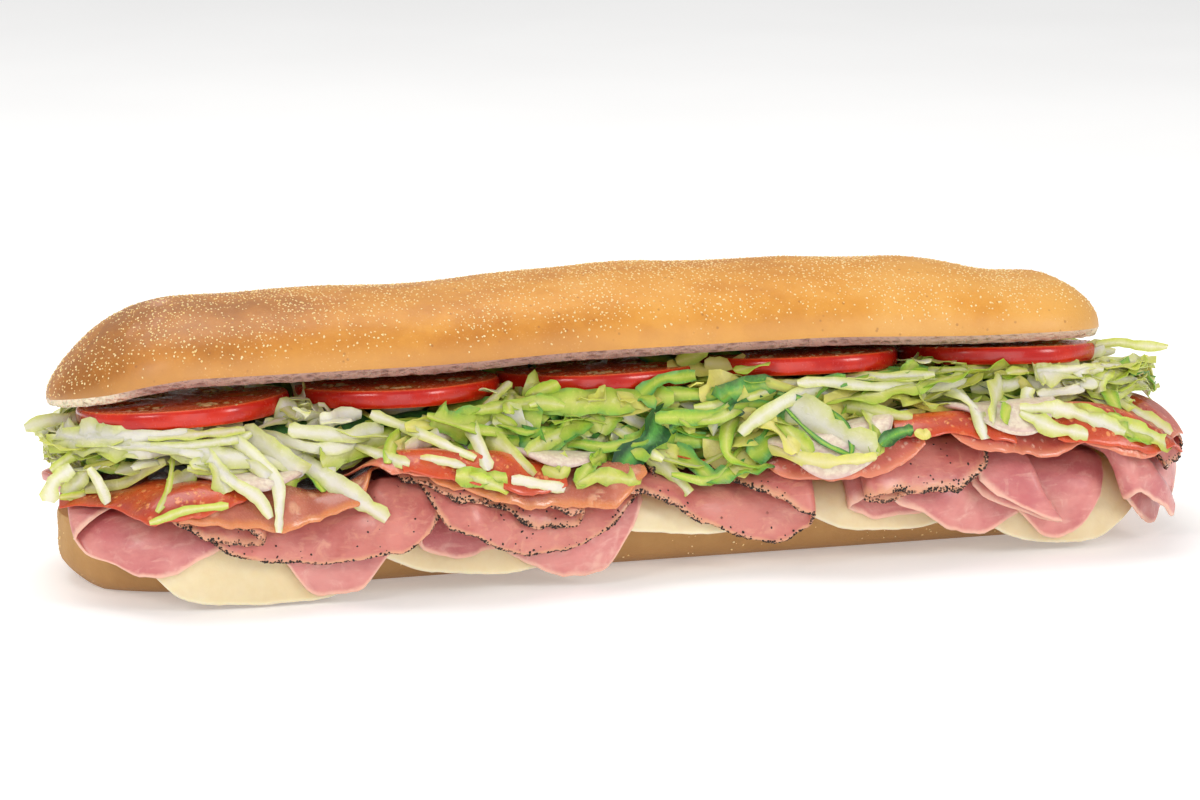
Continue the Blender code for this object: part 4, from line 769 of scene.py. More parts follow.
def bread_crumb():
    f = Finish("soft_crumb_painted_shade", Roughness=0.85, Subsurface_Weight=0.15, Subsurface_Scale=0.003)
    pores = f.cells(2.2, stretch=(0.7, 1.0, 1.3)).between(0.1, 0.55)
    small = f.cells(0.8).between(0.1, 0.5)
    # painted shade: the front band of the crumb is painted dark mauve, blotchy and darker in its
    # pores, as the shade under the upper half; the crumb's own creamy colour is used further in
    colour = f.blend(pores * 0.6 + 0.4, (0.22, 0.10, 0.09), (0.46, 0.27, 0.22))
    colour = f.blend(f.mottle(18, 2).between(0.4, 0.65) * 0.4, colour, (0.34, 0.17, 0.15))
    # the painted shade is lighter towards the right end
    pale = f.along("X").between(60, 140)
    colour = f.blend(pale * 0.6, colour, (0.80, 0.62, 0.44))
    # further in the crumb has its own creamy colour, with its pores painted a little darker as
    # shade in their hollows
    inside = f.along("Y").between(-31, -23)
    colour = f.blend(inside, colour, f.blend(small, (0.82, 0.64, 0.46), (0.88, 0.74, 0.56)))
    return f.give(Base_Color=colour, Normal=f.relief(pores * 0.7 + small * 0.3, 0.9))


def cheese_finish():
    f = Finish("ivory_cheese", Coat_Weight=0.08, Coat_Roughness=0.4, Subsurface_Weight=0.45,
               Subsurface_Radius=(1.0, 0.7, 0.35), Subsurface_Scale=0.004)
    broad = f.mottle(20, 3)
    fine = f.mottle(2.4, 4, 0.6)
    rim = f.stored("rim")
    colour = f.ramp(broad * 0.7 + fine * 0.3, (0.3, (0.74, 0.58, 0.33)),
                    (0.55, (0.79, 0.66, 0.42)), (0.8, (0.84, 0.75, 0.53)))
    colour = f.blend(rim.between(1.4, 0.2) * 0.35, colour, (0.95, 0.90, 0.74))
    smear = f.mottle(7, 4, 0.7, stretch=(0.5, 1, 1.4)).between(0.58, 0.72)
    colour = f.blend(smear * 0.25, colour, (0.88, 0.74, 0.52))
    return f.give(Base_Color=colour, Roughness=fine * 0.2 + 0.34,
                  Normal=f.relief(broad * 0.5 + fine * 0.3, 0.4))


def ham_finish(name, lean, deep, pale, rim_colour, rim_width, pepper, gloss=0.38):
    """A cooked ham: close grain, paler fat patches, a coloured rim, maybe pepper."""
    f = Finish(name, Coat_Roughness=0.22, Subsurface_Weight=0.28,
               Subsurface_Radius=(1.0, 0.35, 0.25), Subsurface_Scale=0.003, IOR=1.42)
    rim = f.stored("rim")
    broad = f.mottle(15, 4, 0.6, stretch=(0.8, 1.0, 1.2))
    muscle = f.mottle(5.5, 5, 0.65, warp=0.8, shift=3.0)
    fine = f.mottle(0.9, 4, 0.6)
    grain = f.mottle(2.6, 3, 0.5, stretch=(0.35, 1.2, 1.2), warp=0.5)
    colour = f.blend(broad.between(0.35, 0.68), lean, deep)
    colour = f.blend(muscle.between(0.52, 0.75) * 0.55, colour, pale)
    colour = f.blend(grain.between(0.55, 0.72) * 0.35, colour, pale)
    edge = (rim + muscle * 1.4 - 0.7).between(rim_width, rim_width * 0.25)
    colour = f.blend(edge * 0.8, colour, rim_colour)
    height = muscle * 0.4 + grain * 0.3 + fine * 0.25
    rough = fine * 0.18 + gloss
    if pepper:
        close = (rim + f.mottle(2.8, 3, 0.6, shift=9.0) * 1.5).between(1.2, 0.85)
        grit = (f.cells(0.8).between(0.60, 0.35)
                * f.mottle(1.2, 3, 0.6, shift=5.0).between(0.30, 0.42))
        black = close * grit
        loose = f.cells(4.2).between(0.12, 0.06) * f.mottle(6, 2, shift=17.0).between(0.48, 0.6)
        black = black.largest(loose * 0.9)
        colour = f.blend(black * 0.93, colour, (0.022, 0.012, 0.009))
        height = height + black * 0.8
        rough = rough + black * 0.25
    return f.give(Base_Color=colour, Roughness=rough, Coat_Weight=muscle.between(0.35, 0.65) * 0.5,
                  Normal=f.relief(height, 0.36))


def sausage_finish(name, lean, deep, fat, fat_size, fat_share, rim_colour, gloss):
    """A cured sausage slice: lean meat marbled with fat, oily."""
    f = Finish(name, Coat_Roughness=0.16, Subsurface_Weight=0.2,
               Subsurface_Radius=(1.0, 0.3, 0.15), Subsurface_Scale=0.002, IOR=1.45)
    rim = f.stored("rim")
    broad = f.mottle(11, 3, 0.6)
    fine = f.mottle(0.8, 3, 0.6)
    marble = f.cells(fat_size, stretch=(1.0, 1.0, 0.8)).between(0.46, 0.22)
    clumps = f.mottle(fat_size * 1.6, 3, 0.7, warp=1.2)
    marble = marble * clumps.between(fat_share, fat_share + 0.12)
    colour = f.blend(broad.between(0.35, 0.65), lean, deep)
    colour = f.blend(marble * 0.85, colour, fat)
    edge = rim.between(1.1, 0.25)
    colour = f.blend(edge * 0.7, colour, rim_colour)
    return f.give(Base_Color=colour, Roughness=fine * 0.2 + gloss,
                  Coat_Weight=broad.between(0.3, 0.6) * 0.5 + 0.2,
                  Normal=f.relief(marble * 0.4 + broad * 0.3 + fine * 0.4, 0.3))


def onion_finish():
    f = Finish("onion_flesh", Coat_Weight=0.2, Coat_Roughness=0.2, Subsurface_Weight=0.5,
               Subsurface_Radius=(1.0, 0.8, 0.7), Subsurface_Scale=0.004, IOR=1.4)
    ring = f.stored("ring")
    skin = ring.between(0.75, 1.0)
    streak = f.mottle(1.4, 3, 0.6)
    colour = f.blend(streak.between(0.35, 0.65), (0.76, 0.66, 0.52), (0.64, 0.50, 0.40))
    colour = f.blend(skin * 0.7, colour, (0.58, 0.36, 0.36))
    return f.give(Base_Color=colour, Roughness=streak * 0.15 + 0.25,
                  Normal=f.relief(streak * 0.5 + skin * 0.5, 0.25))


def lettuce_finish():
    f = Finish("lettuce_leaf", Coat_Weight=0.12, Coat_Roughness=0.25, Subsurface_Weight=0.35,
               Subsurface_Radius=(0.8, 1.0, 0.3), Subsurface_Scale=0.003, IOR=1.4)
    tone = f.stored("tone")
    edge = f.stored("margin")
    cloud = f.mottle(5, 3, 0.6)
    vein = f.mottle(1.3, 3, 0.6, stretch=(1.0, 0.6, 1.0), warp=0.6)
    shade = tone + (cloud - 0.5) * 0.35 + edge * 0.10 - vein.between(0.55, 0.7) * 0.08
    colour = f.ramp(shade, (0.02, (0.82, 0.81, 0.60)), (0.18, (0.72, 0.73, 0.36)),
                    (0.38, (0.57, 0.64, 0.12)), (0.58, (0.36, 0.54, 0.045)),
                    (0.78, (0.10, 0.36, 0.06)), (0.98, (0.012, 0.06, 0.02)))
    sun = f.stored("yellow")
    colour = f.blend(sun * 0.8, colour, (0.84, 0.72, 0.16))
    return f.give(Base_Color=colour, Roughness=vein * 0.2 + 0.30,
                  Normal=f.relief(vein * 0.6 + cloud * 0.4, 0.35))


def tomato_finish():
    f = Finish("tomato", Coat_Roughness=0.10, Subsurface_Weight=0.12,
               Subsurface_Radius=(1.0, 0.25, 0.12), Subsurface_Scale=0.003, IOR=1.42)
    skin = f.stored("skin")
    pulp = f.stored("pulp")
    broad = f.mottle(12, 3, 0.6)
    fine = f.mottle(1.1, 4, 0.6)
    colour = f.blend(broad.between(0.35, 0.65), (0.62, 0.022, 0.004), (0.46, 0.008, 0.004))
    flesh = f.blend(fine.between(0.35, 0.7), (0.84, 0.10, 0.02), (0.90, 0.22, 0.05))
    gel = f.blend(broad.between(0.4, 0.6), (0.80, 0.16, 0.02), (0.88, 0.32, 0.05))
    colour = f.blend(1.0 - skin, colour, flesh)
    colour = f.blend(pulp, colour, gel)
    return f.give(Base_Color=colour, Roughness=fine * 0.12 + 0.20, Coat_Weight=skin * 0.15 + 0.15,
                  Normal=f.relief(fine * (1.0 - skin) * 0.8 + broad * 0.4, 0.3))


def grain_finish(name, light, dark, rough):
    f = Finish(name, Subsurface_Weight=0.1, Subsurface_Scale=0.001)
    vary = f.mottle(1.5, 2, 0.6)
    tint = f.mottle(0.4, 2, 0.6)
    colour = f.blend(vary.between(0.35, 0.65), light, dark)
    return f.give(Base_Color=colour, Roughness=tint * 0.2 + rough)


def floor_finish():
    f = Finish("pale_floor", Roughness=0.75, Emission_Strength=0.3)
    cloud = f.mottle(160, 2)
    colour = f.blend(cloud.between(0.3, 0.7), (0.90, 0.90, 0.90), (0.92, 0.92, 0.92))
    return f.give(Base_Color=colour, Emission_Color=colour)


def through(at, knots, values):
    """Smooth values between knots, without overshooting them."""
    knots = np.asarray(knots, float)
    table = np.asarray(values, float).reshape(len(knots), -1)
    width = np.diff(knots)[:, None]
    rise = np.diff(table, axis=0) / width
    slope = np.zeros_like(table)
    slope[0], slope[-1] = rise[0], rise[-1]
    same = rise[:-1] * rise[1:] > 0
    total = rise[:-1] + rise[1:]
    slope[1:-1] = np.where(same, 2 * rise[:-1] * rise[1:] / np.where(same, total, 1.0), 0.0)
    i = np.clip(np.searchsorted(knots, at, side="right") - 1, 0, len(knots) - 2)
    u = ((at - knots[i]) / width[i, 0])[:, None]
    w = width[i]
    out = (table[i] * (1 + 2 * u) * (1 - u) ** 2 + table[i + 1] * u * u * (3 - 2 * u)
           + slope[i] * w * u * (1 - u) ** 2 - slope[i + 1] * w * u * u * (1 - u))
    return out.reshape(len(at), *np.shape(values)[1:])


def piece(name, points, faces, finish, slot_name, stand_for=(), **stored):
    """A closed smooth mesh from points in millimetres, with what its finish reads."""
    mesh = bpy.data.meshes.new(name)
    mesh.from_pydata([tuple(p) for p in np.asarray(points) * MM], [], faces)
    for key, values in stored.items():
        layer = mesh.attributes.new(key, "FLOAT", "POINT")
        layer.data.foreach_set("value", np.asarray(values, float).ravel())
    bm = bmesh.new()
    bm.from_mesh(mesh)
    bmesh.ops.remove_doubles(bm, verts=bm.verts, dist=1e-7)
    bmesh.ops.recalc_face_normals(bm, faces=bm.faces)
    if bm.calc_volume(signed=True) < 0:
        bmesh.ops.reverse_faces(bm, faces=bm.faces)
    bm.to_mesh(mesh)
    bm.free()
    return settle(bpy.data.objects.new(name, mesh), finish, stand_for)


def settle(obj, finish, stand_for=()):
    """Show a finished piece and hide the solids it stands for."""
    if obj.name not in bpy.context.scene.collection.objects:
        bpy.context.scene.collection.objects.link(obj)
    obj.data.shade_smooth()
    obj.data.materials.clear()
    obj.data.materials.append(finish)
    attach(obj, "root")
    if stand_for:
        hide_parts(*stand_for)
    return obj


def grid_faces(rows, columns, start=0, wrap=False, flip=False):
    faces = []
    for i in range(rows - 1):
        for j in range(columns if wrap else columns - 1):
            a = start + i * columns + j
            b = start + i * columns + (j + 1) % columns
            quad = (a, b, b + columns, a + columns)
            faces.append(quad[::-1] if flip else quad)
    return faces


def sheet_solid(middle, half):
    """Points and faces of a sheet given by its middle surface and half thickness."""
    n, m = middle.shape[:2]
    du = np.gradient(middle, axis=0)
    dv = np.gradient(middle, axis=1)
    normal = unit(np.cross(du, dv))
    for _ in range(2):
        padded = np.pad(normal, ((1, 1), (1, 1), (0, 0)), mode="edge")
        normal = (padded[:-2, 1:-1] + padded[2:, 1:-1] + padded[1:-1, :-2]
                  + padded[1:-1, 2:] + 2 * normal)
        normal = unit(normal)
    upper = middle + normal * half[..., None]
    lower = middle - normal * half[..., None]
    points = np.concatenate([upper.reshape(-1, 3), lower.reshape(-1, 3)])
    faces = grid_faces(n, m) + grid_faces(n, m, n * m, flip=True)
    rim = [(i, 0) for i in range(n)] + [(n - 1, j) for j in range(1, m)]
    rim += [(i, m - 1) for i in range(n - 2, -1, -1)] + [(0, j) for j in range(m - 2, 0, -1)]
    for k, (i, j) in enumerate(rim):
        p, q = rim[(k + 1) % len(rim)]
        a, b = i * m + j, p * m + q
        faces.append((a, b, b + n * m, a + n * m))
    return points, faces


def rounded(distance, thick):
    """Share of the thickness at a distance from a round rim."""
    r = thick * 0.5
    u = np.clip(distance / r, 0.0, 1.0)
    return np.sqrt(np.clip(1 - (1 - u) ** 2, 0.004, 1.0))


def waves(seed, at, size):
    """Gentle uneven waves between about -1 and 1."""
    draw = np.random.default_rng(seed)
    total = np.zeros_like(at, dtype=float)
    for octave in (1.0, 1.9, 3.7):
        total = total + np.sin(at * 2 * math.pi * octave / size + draw.uniform(0, 6.3)) / octave
    return total / 1.8


def draped_slice(name, finish, slot_name, thick, cols_x, cols_h, fronts, backs, fray):
    """One slice as a smooth folded sheet with round rims."""
    seed = sum(ord(c) * (i + 3) for i, c in enumerate(name))
    stations = np.arange(len(YS))
    run = np.hypot(np.diff(cols_x[:, FRONT + 1]), np.diff(cols_h[:, FRONT + 1]))
    knots = np.concatenate([[0.0], np.cumsum(np.maximum(run, 0.05))])
    total = knots[-1]
    r = thick * 0.5
    count = max(12, int(total / 1.5))
    close = np.array([0.0, 0.12 * r, 0.45 * r])
    at = np.concatenate([close, np.linspace(r, total - r, count), total - close[::-1]])
    wide_x = through(at, knots, cols_x)
    wide_h = through(at, knots, cols_h)
    y_front = through(at, knots, np.interp(fronts, stations, YS))
    y_back = through(at, knots, np.interp(backs, stations, YS))
    y_front = y_front + fray * waves(seed, at, 23.0) + 0.35 * fray * waves(seed + 1, at, 5.1)
    y_back = np.maximum(y_back, y_front + 4.0)
    middle_y = np.maximum(-29.0, y_front + 0.4 * (y_back - y_front))
    middle_y = np.minimum(middle_y, y_front + 0.8 * (y_back - y_front))
    rows = [y_back - c for c in close]
    rows += [y_back - r + (middle_y - y_back + r) * f for f in np.linspace(0, 1, 9)[:-1]]
    rows += [middle_y + (y_front + r - middle_y) * f for f in np.linspace(0, 1, 26)]
    rows += [y_front + c for c in close[::-1]]
    ys = np.stack(rows, axis=1)
    xs = np.empty_like(ys)
    hs = np.empty_like(ys)
    for i in range(len(at)):
        both = through(-ys[i], -YS, np.stack([wide_x[i], wide_h[i]], axis=1))
        xs[i], hs[i] = both[:, 0], both[:, 1]
    hang = np.clip((-ys - HALF) / 14.0, 0, 1)
    hs = hs + 0.22 * hang * waves(seed + 2, at, 31.0)[:, None]
    middle = world(xs, ys, hs)
    from_rim = np.minimum(ys - y_front[:, None], y_back[:, None] - ys)
    from_rim = np.minimum(from_rim, np.minimum(at, total - at)[:, None])
    half = thick / 2 * np.interp(-ys, -YS, PRESSED) * rounded(from_rim, thick)
    points, faces = sheet_solid(middle, half)
    return piece(name, points, faces, finish, slot_name, (name.replace("_slice", ""),),
                 rim=np.tile(from_rim.ravel(), 2))


def closed_rings(rings):
    """Points and faces of a body through closed rings, capped at both ends."""
    n, m = rings.shape[:2]
    points = list(rings.reshape(-1, 3))
    faces = grid_faces(n, m, wrap=True)
    for end, flip in ((0, False), (n - 1, True)):
        points.append(rings[end].mean(axis=0))
        hub = len(points) - 1
        for j in range(m):
            a, b = end * m + j, end * m + (j + 1) % m
            faces.append((b, a, hub) if not flip else (a, b, hub))
    return points, faces


def bun_stations(end, step):
    """Places along a bun half: close together at its round ends."""
    close = np.array([0.0, 0.35, 0.9, 1.7, 2.8, 4.2, 5.6])
    inner = np.arange(7.0 - end, end - 7.0, step)
    return np.concatenate([close - end, inner, end - close[::-1]])


def upper_bun(finish, crumb_finish):
    stations = bun_stations(BUN_END, 2.2)
    arcs = np.concatenate([np.radians([0, 2, 4.5, 8, 12, 17, 22]),
                           np.radians(np.arange(28, 153, 5.0)),
                           np.radians([158, 163, 168, 172, 175.5, 178, 180])])
    dome = through(stations, DOME_X, DOME_H)
    edge = through(stations, EDGE_X, EDGE_Z)
    rings, rise, split = [], [], []
    for x, h, z0 in zip(stations, dome, edge):
        w = half_width(x, 46.0, 30.0, 37.0)
        lump = 0.3 * math.sin(x * 0.071 + 1.0) + 0.2 * math.sin(x * 0.143)
        ring, ups, splits = [], [], []
        for a in arcs:
            y = -math.cos(a) * w * (1 + 0.012 * math.sin(x * 0.05 + 2))
            z = math.sin(a) ** 0.86 * (h + lump * math.sin(a))
            fold = noise.noise(Vector((x * 0.045, a * 2.2, 4.0)))
            fold += 0.5 * noise.noise(Vector((x * 0.11, a * 5.0, 9.0)))
            swell = 1.0 + 0.016 * fold * math.sin(a)
            crease = math.exp(-((a - 2.05 - 0.03 * math.sin(x * 0.06)) / 0.07) ** 2)
            crease *= max(0.0, 1 - ((x - 44.0) / 40.0) ** 4) if abs(x - 44.0) < 40 else 0.0
            ring.append((y * swell, z * swell - 0.6 * crease))
            ups.append(math.sin(a))
            splits.append(crease)
        low = min(CRUMB, h * 0.4)
        inset = min(2.6, w * 0.4)
        inner = []
        for f in np.linspace(0.0, 1.0, 23):
            yy = (w - inset) * (1 - 2 * f)
            rough = 0.28 * noise.noise(Vector((x * 0.5, yy * 0.5, 1.0)))
            rough += 0.22 * noise.noise(Vector((x * 1.4, yy * 1.4, 3.0)))
            inner.append((yy, -low + 0.1 + rough))
        rise.append(ups + [0.0] * len(inner))
        split.append(splits + [0.0] * len(inner))
        placed = []
        for y, z in ring + inner:
            yy = y * math.cos(TILT) + z * math.sin(TILT)
            zz = z0 - (y + HALF) * math.sin(TILT) + z * math.cos(TILT)
            placed.append((x - 2.5 * max(0.0, x - 110.0) / 42.5, yy, zz))
        rings.append(placed)
    rings = np.array(rings)
    points, faces = closed_rings(rings)
    bun = piece("upper_bun", points, faces, finish, "crust", ("top_bun",),
                rise=np.array(rise).ravel().tolist() + [0.3, 0.3],
                split=np.array(split).ravel().tolist() + [0.0, 0.0])
    bun.data.materials.append(crumb_finish)
    width = rings.shape[1]
    for face in bun.data.polygons:
        rows = [v % width for v in face.vertices if v < len(rings) * width]
        face.material_index = 1 if rows and min(rows) >= len(arcs) - 1 or (
            0 in rows and max(rows) == width - 1) else 0
    return bun


def lower_bun(finish):
    stations = bun_stations(150.0, 2.6)
    rings, crumbs = [], []
    for x in stations:
        w = half_width(x * 1.016, 43.0, 33.0, 35.6)
        k = w / 35.6
        lift = 9.0 * (1 - min(1.0, k * 1.6)) if k < 0.625 else 0.0
        foot = max(w - 9.0 - 4.0 * k, w * 0.25)
        belly = 0.4 * math.sin(x * 0.06)
        top = CUT_Z - 4.5 * (1 - k)
        side = np.array([(w - 1.3, top), (w, top - 1.6), (w + 0.5 + belly * k, CUT_Z - 6.0),
                         (w - 0.2, CUT_Z - 11.0), (w * 0.935, 6.5), (w * 0.83, 2.6), (foot, 0.0)])
        steps = np.arange(len(side), dtype=float)
        side = through(np.linspace(0, len(side) - 1, 19), steps, side)
        fold = [0.35 * noise.noise(Vector((x * 0.05, i * 0.35, 2.0))) for i in range(len(side))]
        side[1:-3, 0] += np.array(fold)[1:-3]
        left = [(-y, z) for y, z in side]
        flat = [(y, 0.0) for y in np.linspace(-foot, foot, 9)[1:-1]]
        right = [(y, z) for y, z in side[::-1]]
        cut = [(y, top) for y in np.linspace(w - 1.3, 1.3 - w, 13)[1:-1]]
        ring = left + flat + right + cut
        if lift > 0:
            ring = [(y, lift + z * (CUT_Z - lift) / CUT_Z) for y, z in ring]
        rings.append([(x, y, z) for y, z in ring])
        crumbs += [1.0 if (z >= top - 0.3 and lift == 0) else 0.0 for y, z in ring]
    points, faces = closed_rings(np.array(rings))
    return piece("lower_bun", points, faces, finish, "crust", ("bottom_bun",),
                 crumb=crumbs + [0.0, 0.0])


def tomato_slice(index, data, finish):
    """A cut slice: skin round the rim, wet flesh with pockets of seeds on its faces."""
    cx, front_z, radius, lean, roll = data
    turns = 120
    shares = np.concatenate([np.linspace(0.04, 0.88, 17), [0.92, 0.95, 0.973]])
    pockets = 5 + index % 2
    half = TOMATO_T / 2
    rings, skin_rows, pulp_rows = [], [], []
    for share in shares:
        row, pulp_row = [], []
        for i in range(turns):
            a = 2 * math.pi * i / turns
            lobe = math.cos(pockets * a + index * 1.3 + 0.3 * math.sin(2 * a))
            open_here = max(0.0, min(1.0, (lobe + 0.15) * 2.2))
            ring = math.exp(-((share - 0.58) / 0.17) ** 4)
            pocket = open_here * ring
            pulp_row.append(pocket)
            spot = Vector((share * 14 * math.cos(a), share * 14 * math.sin(a), index))
            bump = 0.10 * noise.noise(spot)
            row.append((share, a, half - 0.05 - 0.55 * pocket + bump * (1 - share ** 8)))
        rings.append(row)
        skin_rows.append([0.0] * turns)
        pulp_rows.append(pulp_row)
    wall = [(1.0 - 0.9 / radius * (1 - math.sin(t)), half * 0.97 * math.cos(t) ** 0.7)
            for t in np.radians([12, 40, 65, 82])]
    rest = [(share, z, 1.0 if share > 0.985 else 0.55) for share, z in wall]
    rest += [(share, -z, skin) for share, z, skin in rest[::-1]]
    rest += [(share, -half + 0.05, 0.0) for share in shares[::-1][::2]]
    for share, z, skin in rest:
        rings.append([(share, 2 * math.pi * i / turns, z) for i in range(turns)])
        skin_rows.append([skin] * turns)
        pulp_rows.append([0.0] * turns)
    back = radius * 0.985
    cz = front_z - back * math.sin(math.radians(lean)) + half
    turn = (Matrix.Rotation(math.radians(-roll), 3, "Y")
            @ Matrix.Rotation(math.radians(-lean), 3, "X"))
    out = []
    for row in rings:
        placed = []
        for share, a, z in row:
            f = 1 + 0.014 * math.sin(5 * a + index * 1.7) + 0.010 * math.sin(3 * a + index)
            p = turn @ Vector((share * radius * f * math.cos(a),
                               share * radius * f * 0.985 * math.sin(a), z))
            placed.append((p.x + cx, p.y + TOMATO_Y, p.z + cz))
        out.append(placed)
    points, faces = closed_rings(np.array(out))
    made = piece(f"tomato_slice_{index}", points, faces, finish, "tomato", (f"tomato_{index}",),
                 skin=np.array(skin_rows).ravel().tolist() + [0, 0],
                 pulp=np.array(pulp_rows).ravel().tolist() + [0, 0])
    return made, turn, cz, pockets


def tomato_seeds(index, data, turn, cz, pockets, draw):
    """Flat pale seeds lying in a slice's pockets."""
    cx, radius = data[0], data[2]
    points, faces = [], []
    for _ in range(46):
        for _ in range(20):
            a = draw.uniform(0, 2 * math.pi)
            share = draw.uniform(0.42, 0.76)
            if math.cos(pockets * a + index * 1.3 + 0.3 * math.sin(2 * a)) > 0.15:
                break
        middle = Vector((share * radius * math.cos(a), share * radius * math.sin(a),
                         TOMATO_T / 2 - 0.42))
        spin = draw.uniform(0, math.pi)
        start = len(points)
        for ring_z, ring_r in ((-0.28, 0.5), (0.0, 1.0), (0.28, 0.5)):
            for k in range(7):
                t = 2 * math.pi * k / 7
                x, y = 1.25 * ring_r * math.cos(t), 0.8 * ring_r * math.sin(t)
                p = Vector((x * math.cos(spin) - y * math.sin(spin),
                            x * math.sin(spin) + y * math.cos(spin), ring_z))
                q = turn @ (middle + p)
                points.append((q.x + cx, q.y + TOMATO_Y, q.z + cz))
        faces += grid_faces(3, 7, start, wrap=True)
        faces += [tuple(start + k for k in range(6, -1, -1)),
                  tuple(start + 14 + k for k in range(7))]
    return points, faces


def onion_disc(number, cx, cy, radius, limit, surface, finish):
    """A raw onion slice: nested rings standing a little apart."""
    turns = 110
    shares = np.concatenate([np.linspace(0.05, 0.93, 34), [0.96, 0.985, 1.0]])
    rings_count = 7.0
    short = min(1.0, (cy - limit(cx)) / radius)
    rows, relief, tones = [], [], []
    for share in shares:
        row, low, tone = [], [], []
        for i in range(turns):
            a = 2 * math.pi * i / turns
            f = 1 + 0.02 * math.sin(3 * a + number) + 0.012 * math.sin(5 * a)
            x = cx + share * radius * f * math.cos(a)
            y = cy + share * radius * f * math.sin(a) * (short if math.sin(a) < 0 else 1.0)
            row.append((x, y))
            phase = (share * rings_count + 0.06 * math.sin(2 * a + number)) % 1.0
            tone.append(phase)
            low.append(0.28 * math.exp(-((phase - 0.97) / 0.07) ** 2))
        rows.append(row)
        relief.append(low)
        tones.append(tone)
    rows = np.array(rows)
    relief = np.array(relief)
    heights = surface(rows[..., 0], rows[..., 1])
    middle = world(rows[..., 0], rows[..., 1], heights)
    edge = radius * (1 - shares)[:, None] * np.ones(turns)
    half = ONION_T / 2 * rounded(edge, ONION_T) * 0.92 - relief * 0.5
    du = np.gradient(middle, axis=0)
    dv = (np.roll(middle, -1, axis=1) - np.roll(middle, 1, axis=1)) / 2
    normal = unit(np.cross(du, dv))
    normal *= np.sign(normal[..., 2:3] + TINY)
    upper = middle + normal * np.maximum(half, 0.05)[..., None]
    lower = middle - normal * np.maximum(half, 0.05)[..., None]
    points, faces = closed_rings(np.concatenate([upper, lower[::-1]]))
    ring_tone = np.array(tones + tones[::-1]).ravel().tolist()
    return piece(f"onion_slice_{number}", points, faces, finish, "onion", (f"onion_{number}",),
                 ring=ring_tone + [0, 0])


def between_four(heights, i, fx, y):
    """Height between two columns, fx from column i to the next, at offset y."""
    j = np.interp(-y, -YS, np.arange(len(YS)))
    j0 = np.clip(j.astype(int), 0, len(YS) - 2)
    fy = j - j0
    return ((heights[i, j0] * (1 - fx) + heights[i + 1, j0] * fx) * (1 - fy)
            + (heights[i, j0 + 1] * (1 - fx) + heights[i + 1, j0 + 1] * fx) * fy)


def smooth_floor(x, y):
    """Height of everything laid so far over the cut, softly between lattice points."""
    i = np.clip((np.asarray(x, float) - XS[0]) / STEP, 0, len(XS) - 1.001)
    i0 = i.astype(int)
    fx = i - i0
    return between_four(floor, i0, fx * fx * (3 - 2 * fx), np.asarray(y, float))


def roof_at(x, y):
    """Height over the cut of the tomatoes' undersides, or of the heap beyond them."""
    return tomato_underside(x, max(min(y, 30.0), -HALF)) - CUT_Z


def bread_over(x, y):
    """Height over the cut of the upper half's crumb."""
    bun = float(np.interp(x, EDGE_X, EDGE_Z)) - (y + HALF) * math.sin(TILT)
    return bun - CRUMB - CUT_Z


def off_tomatoes(x, y):
    """Distance to the nearest tomato slice, seen from above."""
    return min(math.hypot(x - t[0], y - TOMATO_Y) - t[2] for t in TOMATOES)


def end_share(x, left, right, least):
    """What is left of the heap's width past the centres of its round ends."""
    if x < SEG_LEFT:
        return math.sqrt(max(least, 1 - ((SEG_LEFT - x) / left) ** 2))
    if x > SEG_RIGHT:
        return math.sqrt(max(least, 1 - ((x - SEG_RIGHT) / right) ** 2))
    return 1.0


def lettuce_shade_core(finish):
    """The heap's inside, kept a little smaller than the heap; its front is painted near
    black-green as the shade in the gaps between shreds.
    """
    draw = np.random.default_rng(11)
    rings = []
    for x in np.arange(-142.0, 147.0, 4.0):
        shrink = end_share(x, 29.0, 32.0, 0.03)
        low, top = [], []
        for y in (32.0, 22.0, 11.0, 0.0, -11.0, -22.0, -29.0):
            yy = y * shrink
            base = 0.8 + max(floor_at(x + a, yy + b) for a in (-4.5, 0, 4.5) for b in (-3, 3))
            lift = roof_at(x, yy) - 1.6 - draw.uniform(0, 1.5)
            if off_tomatoes(x, yy) > 3.0 and yy > 8:
                lift = bread_over(x, yy) - (1.4 if yy < 28 else 5.0)
            low.append((x, yy, base))
            top.append((x, yy, max(lift, base + 0.6)))
        bulge = []
        for share, reach in ((0.7, -32.0), (0.3, -32.5)):
            yy = reach * shrink
            base = 1.0 + floor_at(x, yy)
            lift = max(roof_at(x, yy) - 2.5, base + 0.8)
            bulge.append((x, yy, base + (lift - base) * share))
        rings.append([tuple(world(*p)) for p in top + bulge + low[::-1]])
    points, faces = closed_rings(np.array(rings))
    count = len(points)
    # painted shade: the front of the core takes the darkest green, its back a plain mid green
    tones = [0.93 if p[1] < 6 else 0.55 for p in points]
    return piece("lettuce_painted_shade", points, faces, finish, "lettuce", (),
                 tone=tones, margin=[0.0] * count, yellow=[0.0] * count)


def leaf_tone(x, draw):
    """Greenness of a shred by its place along the bun, as the heap was mixed."""
    centre = np.interp(x, [-150, -110, -70, -40, 0, 30, 70, 100, 150],
                       [0.10, 0.12, 0.17, 0.31, 0.40, 0.42, 0.35, 0.22, 0.16])
    tone = centre + draw.normal(0, 0.13)
    if draw.uniform() < 0.05 + 0.05 * (centre > 0.35):
        tone += draw.uniform(0.2, 0.42)
    return float(np.clip(tone, 0.0, 0.95))


def heap_reach(x, wide):
    """How far the heap goes from the middle line at x."""
    return wide * end_share(x, 37.0, 40.0, 0.04)


# how far along the bun a strewn shred may reach
SHRED_LEFT, SHRED_RIGHT = -151.5, 168.0


